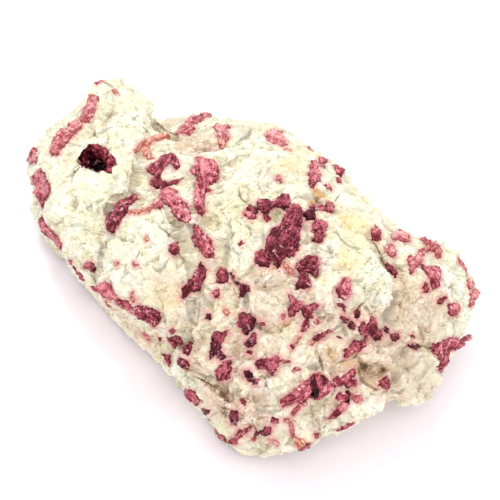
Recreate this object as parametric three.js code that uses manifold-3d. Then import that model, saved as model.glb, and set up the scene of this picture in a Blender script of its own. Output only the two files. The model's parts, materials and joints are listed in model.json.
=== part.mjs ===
// Tourmaline crystals grown in a lump of feldspar and quartz matrix.
// Millimetres, +Z up. The long axis lies along X and the flat underside is at z = 0.
import * as THREE from 'three';
import Module from 'manifold-3d';
import { ConvexGeometry } from 'three/addons/geometries/ConvexGeometry.js';
import { SimplexNoise } from 'three/addons/math/SimplexNoise.js';
import { TessellateModifier } from 'three/addons/modifiers/TessellateModifier.js';
import { mergeVertices } from 'three/addons/utils/BufferGeometryUtils.js';

const wasm = await Module();
wasm.setup();

// Driving dimensions, in millimetres
const seatClearance = 0.3;
const restHeight = 0;
const grainStep = 18;
const coarseRelief = 1.1;
const coarseWave = 15;
const fineRelief = 0.5;
const fineWave = 5;
const leastEdge = 0.12;
const leastRise = 0.7;
const stoutWidth = 4;
const surfaceBlur = 4;
const crustShift = 2.4;
const crustThickness = 1.3;
const crustBelowBrim = 1.2;

// Proportions of a crystal, as shares of its width
const riseShare = 0.22;
const thicknessShare = 0.8;
const bevelShare = 0.22;
const sectionSwell = 0.13;
const sectionJitter = 0.35;
const endSlant = 0.25;

// Each block of rock is the hull of its upper corners and of a smaller foot below them.
// foot is the height of that lower outline, and tuck the share by which it is drawn in.
const blocks = {
    core: { foot: -3, tuck: 0.3, corners: [
        [-50, 2, 18], [-44, 20, 16], [-20, 30, 18], [10, 34, 18], [36, 26, 18], [58, 14, 16],
        [60, -8, 16], [46, -30, 18], [20, -32, 18], [-10, -28, 16], [-40, -20, 16], [10, 0, 30]] },
    underBody: { foot: 2, tuck: 0.12, corners: [
        [-64, 19, 12], [-50, 24, 12], [-20, 31, 12], [5, 34, 12], [30, 28, 12], [54, 29, 12],
        [61, 22, 11], [63, 4, 10], [64, -4, 9], [58, -20, 10], [48, -33, 9], [35, -38, 8],
        [20, -37, 8], [-10, -31, 8], [-40, -25, 8], [-58, -12, 10], [-62, 0, 12]] },
    headKnob: { foot: 4, tuck: 0.3, corners: [
        [-72, 24, 15], [-65, 28, 16], [-57, 29, 17], [-51, 28, 17], [-44, 23, 19], [-38, 10, 27],
        [-39, 1, 31], [-46, 2, 30], [-59, 8, 25], [-66, 12, 21]] },
    headShoulder: { foot: 5, tuck: 0.25, corners: [
        [-65, 12, 21], [-58, 4, 24], [-65, 1, 17], [-68, -2, 15], [-48, -16, 27], [-50, -8, 27],
        [-50, 0, 29], [-48, 5, 30]] },
    leftFlank: { foot: 3, tuck: 0.2, corners: [
        [-68, -2, 15], [-67, -8, 14], [-66, -11, 12], [-63, -14, 11], [-57, -17, 10],
        [-54, -20, 9], [-45, -17, 28], [-51, -8, 27], [-38, -24, 27], [-33, -27, 26]] },
    leftNose: { foot: 2, tuck: 0.2, corners: [
        [-55, -19, 9], [-54, -23, 8], [-50, -24, 8], [-43, -27, 7], [-37, -28, 8],
        [-35, -26, 27], [-29, -28, 27], [-24, -31, 25]] },
    vugBlock: { foot: 8, tuck: 0, corners: [
        [-50, -9, 28], [-50, 0, 30], [-38, 0, 33], [-27, -3, 34], [-20, -15, 34], [-23, -22, 31],
        [-33, -27, 27], [-40, -22, 28]] },
    leftPlateau: { foot: 4, tuck: 0.1, corners: [
        [-34, -27, 27], [-25, -19, 30], [-16, -26, 29], [-9, -35, 21], [-14, -36, 17],
        [-20, -35, 17], [-29, -32, 15], [-37, -29, 12]] },
    smoothRidge: { foot: 8, tuck: 0, corners: [
        [-49, 13, 28], [-41, 15, 28], [-32, 7, 31], [-24, -5, 36], [-17, -16, 36],
        [-23, -15, 34], [-36, -4, 33]] },
    whiteBlock: { foot: 8, tuck: 0, corners: [
        [-18, -23, 32], [-16, -20, 35], [-9, -14, 37], [-2, -17, 37], [4, -20, 37], [6, -25, 36],
        [3, -30, 34], [-2, -35, 29], [-7, -37, 26], [-14, -30, 29]] },
    creamBlock: { foot: 5, tuck: 0.1, corners: [
        [-9, -37, 22], [-2, -35, 29], [3, -29, 34], [6, -25, 35], [11, -23, 34], [15, -29, 32],
        [17, -32, 28], [14, -35, 22], [5, -35, 17], [-5, -35, 16]] },
    sideWall: { foot: 1.5, tuck: 0.15, corners: [
        [-30, -31, 13], [-22, -32, 8], [-12, -33, 6], [-3, -34, 5], [7, -35, 4], [12, -37, 9],
        [14, -35, 18], [-4, -34, 20], [-20, -34, 17]] },
    backRidge: { foot: 3, tuck: 0.15, corners: [
        [-41, 21, 19], [-34, 25, 22], [-30, 29, 22], [-22, 33, 22], [-17, 35, 22], [-4, 10, 35],
        [-12, 6, 33], [-18, 2, 31], [-29, 8, 28]] },
    roseBlock: { foot: 10, tuck: 0, corners: [
        [-29, 0, 31], [-20, 2, 31], [-12, 6, 34], [-4, 8, 36], [3, -4, 37], [0, -13, 33],
        [-7, -15, 33], [-16, -15, 33]] },
    backCrest: { foot: 3, tuck: 0.1, corners: [
        [-17, 34, 23], [-8, 39, 21], [-4, 41, 20], [5, 38, 20], [12, 37, 22], [22, 17, 35],
        [18, 11, 37], [12, 2, 38], [6, 1, 36], [-5, 10, 35]] },
    centreCrest: { foot: 10, tuck: 0, corners: [
        [8, -1, 37], [12, 3, 39], [20, 9, 39], [26, 12, 37], [32, 8, 37], [33, -1, 37],
        [32, -11, 38], [27, -16, 37], [16, -14, 35], [8, -7, 36]] },
    midBlock: { foot: 10, tuck: 0, corners: [
        [-2, -2, 35], [4, -1, 36], [11, -7, 36], [17, -15, 34], [12, -17, 31], [2, -11, 30]] },
    rightBack: { foot: 3, tuck: 0.15, corners: [
        [12, 36, 22], [22, 33, 22], [27, 32, 22], [35, 30, 22], [37, 13, 34], [37, 3, 37],
        [29, 6, 37], [22, 15, 35]] },
    tongue: { foot: 12, tuck: 0, corners: [
        [34, 5, 38], [38, 11, 36], [45, 7, 37], [51, 4, 35], [55, -1, 32], [55, -5, 30],
        [48, -5, 33], [48, -11, 32], [41, -9, 35], [36, -3, 37]] },
    rightLobeBack: { foot: 4, tuck: 0.2, corners: [
        [33, 29, 22], [40, 30, 20], [45, 32, 20], [51, 33, 19], [55, 34, 18], [58, 33, 17],
        [58, 16, 26], [51, 15, 28], [46, 15, 27], [38, 18, 27]] },
    rightLobeFront: { foot: 5, tuck: 0.25, corners: [
        [58, 33, 17], [61, 31, 16], [65, 29, 14], [66, 26, 13], [66, 22, 12], [68, 18, 12],
        [68, 11, 11], [65, 4, 20], [60, -3, 25], [54, 3, 27], [51, 14, 28], [57, 17, 26]] },
    lowerRight: { foot: 5, tuck: 0.45, corners: [
        [68, 12, 11], [69, 5, 10], [71, 1, 10], [72, -4, 10], [70, -8, 11], [65, -10, 13],
        [60, -10, 21], [59, -5, 23], [62, 1, 21]] },
    centreLow: { foot: 8, tuck: 0, corners: [
        [17, -24, 30], [18, -16, 33], [26, -15, 36], [35, -13, 36], [42, -10, 34], [49, -11, 31],
        [54, -14, 27], [51, -21, 26], [46, -30, 24], [38, -36, 24], [26, -33, 25], [19, -29, 27]] },
    frontBlock: { foot: 6, tuck: 0.55, corners: [
        [46, -31, 23], [50, -24, 26], [55, -13, 26], [62, -10, 21], [64, -14, 18], [66, -17, 16],
        [64, -19, 16], [62, -24, 16], [59, -29, 15], [58, -32, 13], [54, -36, 12], [49, -35, 15]] },
    frontFoot: { foot: 3, tuck: 0.4, corners: [
        [47, -30, 22], [39, -36, 24], [35, -40, 20], [37, -43, 10], [41, -44, 9], [45, -43, 8],
        [51, -39, 9], [53, -36, 10], [52, -33, 16], [45, -39, 16],
        [39, -44, 9]] },
    wedge: { foot: 2, tuck: 0.2, corners: [
        [17, -37, 22], [22, -33, 25], [32, -36, 24], [36, -39, 20], [37, -44, 10], [31, -43, 9],
        [25, -42, 8], [22, -40, 9], [15, -38, 9],
        [39, -44, 9], [14, -38, 9]] },
    valley: { foot: 10, tuck: 0, corners: [
        [1, -17, 32], [3, -11, 33], [12, -17, 32], [18, -25, 30], [20, -32, 27], [16, -32, 27],
        [11, -24, 31]] },
    saddleFill: { foot: 10, tuck: 0, corners: [
        [-32, 2, 31], [-37, 14, 27], [-25, 10, 29], [-13, 2, 32], [-8, -10, 33], [-15, -14, 32],
        [-22, -12, 32]] },
    leftBody: { foot: 6, tuck: 0, corners: [
        [-49, -8, 24], [-44, 5, 28], [-32, 7, 29], [-21, 8, 29], [-10, -9, 32], [-6, -20, 33],
        [-16, -28, 25], [-31, -26, 23], [-4, -33, 24], [-40, -20, 24]] },
    middleBody: { foot: 6, tuck: 0, corners: [
        [-32, 8, 28], [-20, 16, 29], [-4, 23, 31], [10, 22, 32], [24, 16, 34], [34, 2, 35],
        [35, -11, 34], [23, -19, 32], [13, -26, 27], [3, -23, 31], [-11, -10, 32], [24, -30, 24]] },
    eastBody: { foot: 6, tuck: 0, corners: [
        [9, 23, 31], [26, 23, 30], [40, 20, 28], [50, 19, 25], [62, 7, 20], [61, -5, 21],
        [53, -16, 26], [46, -26, 23], [36, -32, 24], [24, -30, 24], [22, -19, 31], [34, 2, 35]] },
    eastGround: { foot: 6, tuck: 0, corners: [
        [43, 14, 29], [49, 11, 28], [54, 4, 26], [60, -3, 24], [61, -10, 22], [55, -14, 28],
        [54, -5, 29]] },
};

// Where each crystal breaks the surface: [x, y, z, length, width, turn, dip] of every prism in it.
// turn is the plan direction of its long axis in degrees, and dip how far that axis points down.
const crystals = {
    ridge_upper: [[-53.5, 5.5, 27.5, 10.5, 4, -60, -20]],
    ridge_lower: [[-50, -3.5, 29, 7, 4.5, -75, -10], [-50, -9.5, 28, 11, 5.5, -70, 0]],
    flank_pale: [[-61.5, -12, 16.5, 6, 4, -45, -10]],
    flank_long: [[-50.5, -19, 18, 10.5, 6.5, -40, 20]],
    flank_low: [[-36, -29.5, 17, 14, 4, -20, -30]],
    back_blade: [[-28, 20, 25, 12.5, 5, -75, -20]],
    saddle_arch: [[-28.5, 4.5, 29.5, 14, 2.5, -75, -20]],
    back_pale: [[-16.5, 20.5, 28.5, 10, 3.5, -35, -20]],
    rose_big: [[-6.5, 2.5, 35, 14, 6.5, -65, -10], [-0.5, -6, 36.5, 8.5, 3, -50, 10]],
    groove_dark: [[-16, -21.5, 33.5, 12, 6, -75, -10]],
    blade_centre: [[7.5, -14, 32, 10.5, 4, -25, 0]],
    rim_knot: [[-16, -33, 22.5, 5, 3, 10, -30]],
    slope_blade: [[11.5, -23, 30.5, 11, 3.5, -75, 0]],
    back_plate: [[-6, 32.5, 24, 7, 6.5, 20, 10]],
    crest_blade: [[14, 23.5, 31, 11.5, 3.5, -60, -30]],
    crest_stub: [[15.5, 33.5, 23.5, 5.5, 5, -70, -50]],
    centre_cluster: [
        [15, 1, 39, 5, 5.5, 45, -10], [17.5, 4.5, 39, 4, 5.5, 25, 0], [22.5, 1.5, 39, 7.5, 4.5, -60, 0],
        [25, -6, 39, 9, 7, -90, 10], [23, -11.5, 37, 4, 4, -85, 20]],
    cluster_dark: [[25.5, 7, 38.5, 3.5, 4, 45, 10]],
    cluster_east: [[29.5, 3.5, 38.5, 6, 4, 85, 0]],
    dark_arch: [[-19, -0.5, 32.5, 8.5, 5, 60, 0]],
    magenta_long: [[-5, -11, 35, 12.5, 4, -15, 0], [-14, -6.5, 34, 9, 2.5, -35, 0]],
    tongue_dark: [[33, -6, 36, 7, 4.5, 65, 10]],
    tongue_blade: [[43, -5, 34.5, 6, 3.5, -75, 20]],
    lobe_cap: [[41, 25, 23.5, 7.5, 5, 75, 30]],
    lobe_knot: [[43, 16, 28.5, 5.5, 3, 90, 20]],
    crack_dark: [[47, 10.5, 29, 4.5, 4, -5, 30]],
    lobe_long: [[49.5, 19, 26, 11.5, 2.5, -80, -20]],
    lobe_pair: [[50.5, 28.5, 21.5, 6, 3, -55, -20], [47, 30, 20.5, 5.5, 3.5, -20, -20]],
    lobe_magenta: [[55, 18.5, 25, 7.5, 4, -50, -10]],
    rim_east: [[64.5, 25.5, 15.5, 5.5, 3.5, -70, 0]],
    end_triangle: [[66, 7.5, 14.5, 9, 6.5, 80, 10]],
    grain_bed: [[52, -7.5, 30, 5, 3.5, 45, 10]],
    wine_blade: [[52, -11.5, 26, 7.5, 2.5, 75, -10]],
    bow: [[36.5, -15.5, 34, 4.5, 3, -20, 20], [39.5, -14.5, 33.5, 4.5, 3, 75, -10]],
    mid_dark: [[29, -24.5, 30, 5, 4, 30, -20]],
    leg_west: [[25.5, -31.5, 26, 7, 3.5, -65, 40]],
    leg_east: [[29, -33.5, 19.5, 7, 3.5, 60, -60]],
    low_blade: [[38.5, -29, 27, 6, 3, 30, -10]],
    wall_pair: [[14, -34.5, 18.5, 4.5, 4.5, 20, 20], [16, -32.5, 15.5, 4, 4.5, 20, -30]],
    wall_stub: [[20, -38, 19, 6, 3.5, -20, -30]],
    wall_upper: [[-6.5, -36.5, 24.5, 8, 5.5, -10, -10]],
    wall_long: [[5.5, -35, 23.5, 8.5, 5.5, 10, 10]],
    wedge_blade: [[24.5, -40.5, 11, 7, 4, -20, -10]],
    front_band: [
        [47.5, -29.5, 24, 10.5, 4, 70, -30], [50.5, -25, 25.5, 6, 4.5, 60, -10],
        [54, -19.5, 24.5, 8.5, 2.5, 70, 0]],
    front_blade: [[57, -25, 19.5, 5.5, 2, 75, -20]],
    front_edge: [[52.5, -35, 14.5, 4, 2, -5, 50]],
    head_back: [[-60, 29, 10, 9, 4, 10, 20]],
    back_west: [[-37, 25, 12, 12, 5, 40, 20]],
    back_middle: [[-7, 37, 11, 15, 6, 10, -15]],
    back_east: [[21, 33, 11, 10, 5, -15, 60]],
    back_lobe: [[47, 31, 10, 8, 4, 0, 30]],
    west_low: [[-58, -12, 7, 9, 4, -40, 10]],
};

// The crystals that are not magenta: pale rose ones, and dark wine-red ones
const shades = {
    rose: ['ridge_upper', 'flank_pale', 'back_blade', 'saddle_arch', 'back_pale', 'rose_big', 'back_plate',
        'lobe_cap', 'lobe_long', 'lobe_pair', 'rim_east', 'front_edge', 'head_back', 'back_east'],
    wine: ['groove_dark', 'rim_knot', 'slope_blade', 'centre_cluster', 'cluster_dark', 'cluster_east',
        'dark_arch', 'tongue_dark', 'crack_dark', 'grain_bed', 'wine_blade', 'bow', 'mid_dark', 'leg_west',
        'leg_east', 'wall_pair', 'wall_stub', 'back_middle'],
};

// Hollows in the rock: [x, y, z, half length, half width, depth, turn]
const hollows = {
    vug: [-36, -11, 31, 5.6, 4, 10, -75],
    saddle: [-40, 17, 27, 4, 3, 4, -60],
    plateauNotch: [-21, -18, 32, 2.6, 1.6, 3, -20],
    plateauDish: [-31, -24, 27.5, 5, 3, 2, -20],
    northDish: [-27, -1, 32, 3, 2, 2, 20],
    whiteGroove: [-14, -30, 28, 6, 1.6, 3, -40],
    tongueCrack: [48.5, 6, 32, 6.5, 1.3, 6, -5],
    curvedCrack: [31, -35, 24, 5.5, 1.2, 4, 0],
    wineHole: [52, -15.5, 28, 2, 1.6, 3, 0],
    frontRecess: [42, -35, 23, 3.6, 1.6, 3.5, 35],
    lobeGroove: [59, 1, 25, 4.5, 1.4, 3, 60],
    bandStep: [52, -29, 21, 4, 1.4, 2.5, 60],
};

// A repeatable pseudo-random source, so that the rock is the same each time
function randomSource(seed) {
    let state = seed;
    return () => {
        state = (state * 16807) % 2147483647;
        return state / 2147483647;
    };
}

const reliefNoise = new SimplexNoise({ random: randomSource(41) });

// One smooth push of space at a point; offset keeps the pushes along X, Y and Z unlike
function push(point, wave, offset) {
    return reliefNoise.noise3d(point.x / wave + offset, point.y / wave, point.z / wave);
}

// Merges the shared corners of a closed mesh, keeping only its positions
function weld(geometry) {
    const bare = new THREE.BufferGeometry();
    bare.setAttribute('position', geometry.getAttribute('position').clone());
    if (geometry.index) {
        bare.setIndex(geometry.index.clone());
    }
    return mergeVertices(bare, 1e-4);
}

function toSolid(geometry) {
    const welded = weld(geometry);
    return new wasm.Manifold(new wasm.Mesh({
        numProp: 3,
        vertProperties: new Float32Array(welded.getAttribute('position').array),
        triVerts: new Uint32Array(welded.index.array),
    }));
}

function toGeometry(solid) {
    const mesh = solid.getMesh();
    const geometry = new THREE.BufferGeometry();
    geometry.setAttribute('position', new THREE.BufferAttribute(new Float32Array(mesh.vertProperties), 3));
    geometry.setIndex(new THREE.BufferAttribute(new Uint32Array(mesh.triVerts), 1));
    return geometry;
}

// Breaks the faces into pieces no longer than step and warps them into uneven rock
function roughen(geometry, step) {
    const rough = weld(new TessellateModifier(step, 16).modify(geometry));
    const position = rough.getAttribute('position');
    const point = new THREE.Vector3();
    for (let i = 0; i < position.count; i += 1) {
        point.fromBufferAttribute(position, i);
        const [dx, dy, dz] = [0, 20, 40].map((offset) => (
            push(point, coarseWave, offset) * coarseRelief + push(point, fineWave, offset + 60) * fineRelief
        ));
        position.setXYZ(i, point.x + dx, point.y + dy, point.z + dz);
    }
    return rough;
}

function rockBlock({ foot, tuck, corners }) {
    const upper = corners.map(([x, y, z]) => new THREE.Vector3(x, y, z));
    const centre = new THREE.Vector3();
    upper.forEach((corner) => centre.addScaledVector(corner, 1 / upper.length));
    const lower = upper.map((corner) => {
        const under = corner.clone().lerp(centre, tuck);
        under.z = foot;
        return under;
    });
    return toSolid(new ConvexGeometry([...upper, ...lower]));
}

function trimBelow(solid, height) {
    const reach = 400;
    const slab = new THREE.BoxGeometry(reach, reach, reach);
    slab.translate(0, 0, height - reach / 2);
    return solid.subtract(toSolid(slab));
}

function makeRock() {
    const rock = joinAll(Object.values(blocks).map(rockBlock));
    const rough = keepMainBody(roughen(toGeometry(rock), grainStep));
    return trimBelow(toSolid(closeShortEdges(rough, leastEdge)), restHeight);
}

function joinAll(solids) {
    return solids.reduce((joined, solid) => joined.add(solid));
}

// Closes up edges shorter than least, where that leaves the surface closed and unfolded
function closeShortEdges(geometry, least) {
    const position = geometry.getAttribute('position');
    const points = Array.from({ length: position.count }, (_, k) => (
        new THREE.Vector3().fromBufferAttribute(position, k)
    ));
    const faces = [];
    const facesAt = points.map(() => new Set());
    for (let i = 0; i < geometry.index.count; i += 3) {
        const face = [0, 1, 2].map((k) => geometry.index.getX(i + k));
        face.forEach((corner) => facesAt[corner].add(faces.length));
        faces.push(face);
    }
    const neighbours = (k) => {
        const around = new Set();
        facesAt[k].forEach((f) => faces[f].forEach((corner) => around.add(corner)));
        around.delete(k);
        return around;
    };
    const faceNormal = (face) => {
        const triangle = new THREE.Triangle(...face.map((k) => points[k]));
        return triangle.getNormal(new THREE.Vector3());
    };
    const folds = (from, onto) => [...facesAt[from]].some((f) => {
        if (faces[f].includes(onto)) {
            return false;
        }
        const moved = faces[f].map((k) => (k === from ? onto : k));
        return faceNormal(faces[f]).dot(faceNormal(moved)) < 0.2;
    });
    const close = (from, onto) => {
        const around = neighbours(onto);
        const shared = [...neighbours(from)].filter((k) => around.has(k));
        if (shared.length !== 2 || folds(from, onto)) {
            return false;
        }
        for (const f of [...facesAt[from]]) {
            if (faces[f].includes(onto)) {
                faces[f].forEach((k) => facesAt[k].delete(f));
                faces[f] = null;
            } else {
                faces[f] = faces[f].map((k) => (k === from ? onto : k));
                facesAt[onto].add(f);
            }
        }
        facesAt[from].clear();
        return true;
    };
    for (let f = 0; f < faces.length; f += 1) {
        for (let k = 0; k < 3 && faces[f]; k += 1) {
            const from = faces[f][k];
            const onto = faces[f][(k + 1) % 3];
            if (points[from].distanceTo(points[onto]) < least) {
                if (!close(from, onto)) {
                    close(onto, from);
                }
            }
        }
    }
    geometry.setIndex(faces.filter((face) => face).flat());
    return geometry;
}

// Keeps the largest body whose faces join edge to edge, without the slivers that warping leaves
function keepMainBody(geometry) {
    const index = geometry.index.array;
    const faceCount = index.length / 3;
    const leader = Array.from({ length: faceCount }, (_, face) => face);
    const find = (face) => {
        let top = face;
        while (leader[top] !== top) {
            leader[top] = leader[leader[top]];
            top = leader[top];
        }
        return top;
    };
    const faceOnEdge = new Map();
    for (let i = 0; i < index.length; i += 1) {
        const face = Math.floor(i / 3);
        const next = i % 3 === 2 ? i - 2 : i + 1;
        const ends = [index[i], index[next]].sort((p, q) => p - q);
        const edge = ends.join('-');
        if (faceOnEdge.has(edge)) {
            leader[find(face)] = find(faceOnEdge.get(edge));
        }
        faceOnEdge.set(edge, face);
    }
    const sizes = new Map();
    for (let face = 0; face < faceCount; face += 1) {
        sizes.set(find(face), (sizes.get(find(face)) ?? 0) + 1);
    }
    const [main] = [...sizes].sort((p, q) => q[1] - p[1])[0];
    geometry.setIndex(Array.from(index).filter((_, i) => find(Math.floor(i / 3)) === main));
    return geometry;
}

// Finds the nearest point of a surface and the way the surface faces around it
function surfaceProbe(geometry, blurRadius) {
    const position = geometry.getAttribute('position');
    const faces = [];
    for (let i = 0; i < geometry.index.count; i += 3) {
        const corners = [0, 1, 2].map((k) => (
            new THREE.Vector3().fromBufferAttribute(position, geometry.index.getX(i + k))
        ));
        const triangle = new THREE.Triangle(...corners);
        faces.push({
            triangle,
            area: triangle.getArea(),
            normal: triangle.getNormal(new THREE.Vector3()),
            middle: triangle.getMidpoint(new THREE.Vector3()),
        });
    }
    return (target) => {
        const point = new THREE.Vector3();
        const trial = new THREE.Vector3();
        let nearest = Infinity;
        for (const face of faces) {
            face.triangle.closestPointToPoint(target, trial);
            const distance = trial.distanceToSquared(target);
            if (distance < nearest) {
                nearest = distance;
                point.copy(trial);
            }
        }
        const normal = new THREE.Vector3();
        for (const face of faces) {
            const spread = face.middle.distanceToSquared(point) / (blurRadius * blurRadius);
            normal.addScaledVector(face.normal, face.area * Math.exp(-spread));
        }
        return { point, normal: normal.normalize() };
    };
}

// A stout tourmaline prism along X: a rounded three-cornered section and slanted, broken ends.
// grow widens it all round.
function prismGeometry(length, width, thickness, random, grow) {
    const stout = width > stoutWidth;
    const sides = stout ? 6 : 5;
    const reach = length / 2 + grow;
    const bevel = Math.min(width, length) * bevelShare;
    const swellPhase = random() * Math.PI;
    const slant = (random() - 0.5) * 2 * endSlant;
    const stations = stout
        ? [[-reach, 0.9], [reach - bevel, 1], [reach, 0.6]]
        : [[-reach, 0.9], [reach, 0.9]];
    const corners = [];
    for (let k = 0; k < sides; k += 1) {
        const angle = ((k + (random() - 0.5) * sectionJitter) / sides) * Math.PI * 2;
        const swell = 1 + sectionSwell * Math.cos(3 * angle + swellPhase);
        const across = Math.cos(angle) * swell;
        const up = Math.sin(angle) * swell;
        for (const [along, taper] of stations) {
            corners.push(new THREE.Vector3(
                along + slant * across * width * 0.5 * Math.sign(along) * (1 - taper),
                across * (width * 0.5 * taper + grow),
                up * (thickness * 0.5 * taper + grow),
            ));
        }
    }
    return new ConvexGeometry(corners);
}

// Lays a prism into the surface, most of it sunk; grow widens it for the pocket it sits in
function seatedPrism([x, y, z, length, width, turn, dip], seed, probe, grow) {
    const { point, normal } = probe(new THREE.Vector3(x, y, z));
    const turnAngle = THREE.MathUtils.degToRad(turn);
    const dipAngle = THREE.MathUtils.degToRad(dip);
    const along = new THREE.Vector3(
        Math.cos(turnAngle) * Math.cos(dipAngle),
        Math.sin(turnAngle) * Math.cos(dipAngle),
        -Math.sin(dipAngle),
    );
    along.projectOnPlane(normal).normalize();
    const across = new THREE.Vector3().crossVectors(normal, along);
    const thickness = width * thicknessShare + 1;
    const rise = Math.max(leastRise, width * riseShare);
    const frame = new THREE.Matrix4().makeBasis(along, across, normal);
    frame.setPosition(point.addScaledVector(normal, rise - thickness / 2));
    const geometry = prismGeometry(length, width, thickness, randomSource(seed), grow);
    return toSolid(geometry.applyMatrix4(frame));
}

// Each crystal keeps its own random shape, the same for the solid and for its pocket
function crystalSeed(k) {
    return 101 + k * 53;
}

function crystalSolid(prisms, seed, probe, grow) {
    return joinAll(prisms.map((prism, k) => seatedPrism(prism, seed + k * 7, probe, grow)));
}

// A turn that carries straight up onto a surface's own direction
function standOn(normal) {
    return new THREE.Quaternion().setFromUnitVectors(new THREE.Vector3(0, 0, 1), normal);
}

// A rough egg-shaped hollow that opens at the surface
function hollowSolid([x, y, z, halfLength, halfWidth, depth, turn], probe) {
    const { point, normal } = probe(new THREE.Vector3(x, y, z));
    const detail = halfLength > 5 ? 1 : 0;
    const egg = weld(new THREE.IcosahedronGeometry(1, detail));
    egg.scale(halfLength, halfWidth, depth);
    egg.rotateZ(THREE.MathUtils.degToRad(turn));
    egg.applyQuaternion(standOn(normal));
    egg.translate(point.x, point.y, point.z);
    return toSolid(egg);
}

// The wine-red crystals that line one side of the vug, as one crust clear of its walls and brim
function makeVugCrust(probe) {
    const [x, y, z, halfLength, halfWidth, depth, turn] = hollows.vug;
    const inset = (amount, shift) => hollowSolid(
        [x - shift, y, z, halfLength - amount, halfWidth - amount, depth - amount, turn],
        probe,
    );
    const { point, normal } = probe(new THREE.Vector3(x, y, z));
    const span = depth * 4;
    const overBrim = new THREE.BoxGeometry(span, span, span);
    overBrim.translate(0, 0, span / 2 - crustBelowBrim);
    overBrim.applyQuaternion(standOn(normal));
    overBrim.translate(point.x, point.y, point.z);
    return inset(seatClearance, 0).subtract(inset(crustThickness, crustShift)).subtract(toSolid(overBrim));
}

const specimen = new THREE.Group();

const matrixMaterial = new THREE.MeshStandardMaterial({ color: 0xe9dfc6, roughness: 0.85, metalness: 0 });
const roseMaterial = new THREE.MeshStandardMaterial({ color: 0xc98a92, roughness: 0.4, metalness: 0 });
const magentaMaterial = new THREE.MeshStandardMaterial({ color: 0xa8425f, roughness: 0.3, metalness: 0 });
const wineMaterial = new THREE.MeshStandardMaterial({ color: 0x6e2438, roughness: 0.3, metalness: 0 });

function crystalMaterial(name) {
    if (shades.rose.includes(name)) {
        return roseMaterial;
    }
    return shades.wine.includes(name) ? wineMaterial : magentaMaterial;
}

function addPiece(name, geometry, material) {
    const mesh = new THREE.Mesh(closeShortEdges(geometry, leastEdge), material);
    mesh.name = name;
    specimen.add(mesh);
}

function addCrystals(probe) {
    Object.entries(crystals).forEach(([name, prisms], k) => {
        const solid = crystalSolid(prisms, crystalSeed(k), probe, 0);
        addPiece(`${name}_crystal`, toGeometry(solid), crystalMaterial(name));
    });
    addPiece('vug_crust', toGeometry(makeVugCrust(probe)), wineMaterial);
}

function addMatrix(rock, probe) {
    const pockets = Object.values(crystals).map((prisms, k) => (
        crystalSolid(prisms, crystalSeed(k), probe, seatClearance)
    ));
    const pits = Object.values(hollows).map((hollow) => hollowSolid(hollow, probe));
    const matrix = [...pits, ...pockets].reduce((left, cut) => left.subtract(cut), rock);
    addPiece('matrix', keepMainBody(toGeometry(matrix)), matrixMaterial);
}

// Stands the specimen over the origin by the middle of its bounds
function centreOnOrigin() {
    const middle = new THREE.Box3().setFromObject(specimen).getCenter(new THREE.Vector3());
    specimen.position.set(-middle.x, -middle.y, 0);
}

const rock = makeRock();
const probe = surfaceProbe(toGeometry(rock), surfaceBlur);
addMatrix(rock, probe);
addCrystals(probe);
centreOnOrigin();

export default specimen;
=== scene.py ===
import json
import math
import random

import bmesh
import bpy
import numpy as np
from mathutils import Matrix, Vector, geometry, kdtree
from mathutils.bvhtree import BVHTree


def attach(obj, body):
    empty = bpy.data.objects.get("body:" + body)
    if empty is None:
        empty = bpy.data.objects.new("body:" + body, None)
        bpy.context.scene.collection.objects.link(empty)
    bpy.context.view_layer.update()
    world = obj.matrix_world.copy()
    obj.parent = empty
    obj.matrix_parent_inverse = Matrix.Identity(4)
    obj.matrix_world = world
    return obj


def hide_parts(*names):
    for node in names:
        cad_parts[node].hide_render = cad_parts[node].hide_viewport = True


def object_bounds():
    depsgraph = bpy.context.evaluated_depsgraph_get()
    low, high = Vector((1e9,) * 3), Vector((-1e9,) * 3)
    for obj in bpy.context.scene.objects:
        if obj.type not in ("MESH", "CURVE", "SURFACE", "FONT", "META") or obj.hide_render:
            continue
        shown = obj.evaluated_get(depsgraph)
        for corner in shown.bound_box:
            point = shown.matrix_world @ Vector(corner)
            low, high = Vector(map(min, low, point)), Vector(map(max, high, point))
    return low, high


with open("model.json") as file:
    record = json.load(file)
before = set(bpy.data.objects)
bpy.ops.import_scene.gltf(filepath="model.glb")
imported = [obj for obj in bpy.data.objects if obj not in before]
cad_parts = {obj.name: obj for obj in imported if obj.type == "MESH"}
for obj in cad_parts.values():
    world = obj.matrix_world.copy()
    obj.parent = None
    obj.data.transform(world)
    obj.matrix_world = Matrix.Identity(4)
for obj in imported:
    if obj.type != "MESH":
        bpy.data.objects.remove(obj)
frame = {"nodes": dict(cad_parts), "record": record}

mm = 0.001
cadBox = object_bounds()
boxLow = np.array(cadBox[0])
boxHigh = np.array(cadBox[1])

# where the specimen is looked at from: metres and degrees
viewpoint = {
    "azimuth": 38.7,
    "elevation": 53.0,
    "distance": 264.4 * mm,
    "target": (2.18 * mm, 11.61 * mm, 0.0),
    "lens": 65.0,
    "sensor": 36.0,
    "clip": (0.01, 10.0),
    "frameWidth": 500,  # drawing units across the view
    "unitsPerMm": 3.85,  # drawing units to a mm at the specimen
}


def viewAxes():
    turn = math.radians(viewpoint["azimuth"])
    rise = math.radians(viewpoint["elevation"])
    level = math.cos(rise)
    back = Vector((math.sin(turn) * level, -math.cos(turn) * level, math.sin(rise)))
    right = Vector((math.cos(turn), math.sin(turn), 0.0))
    return right, back.cross(right), back


viewRight, viewUp, viewBack = viewAxes()
viewOrigin = Vector(viewpoint["target"]) + viewBack * viewpoint["distance"]


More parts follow.
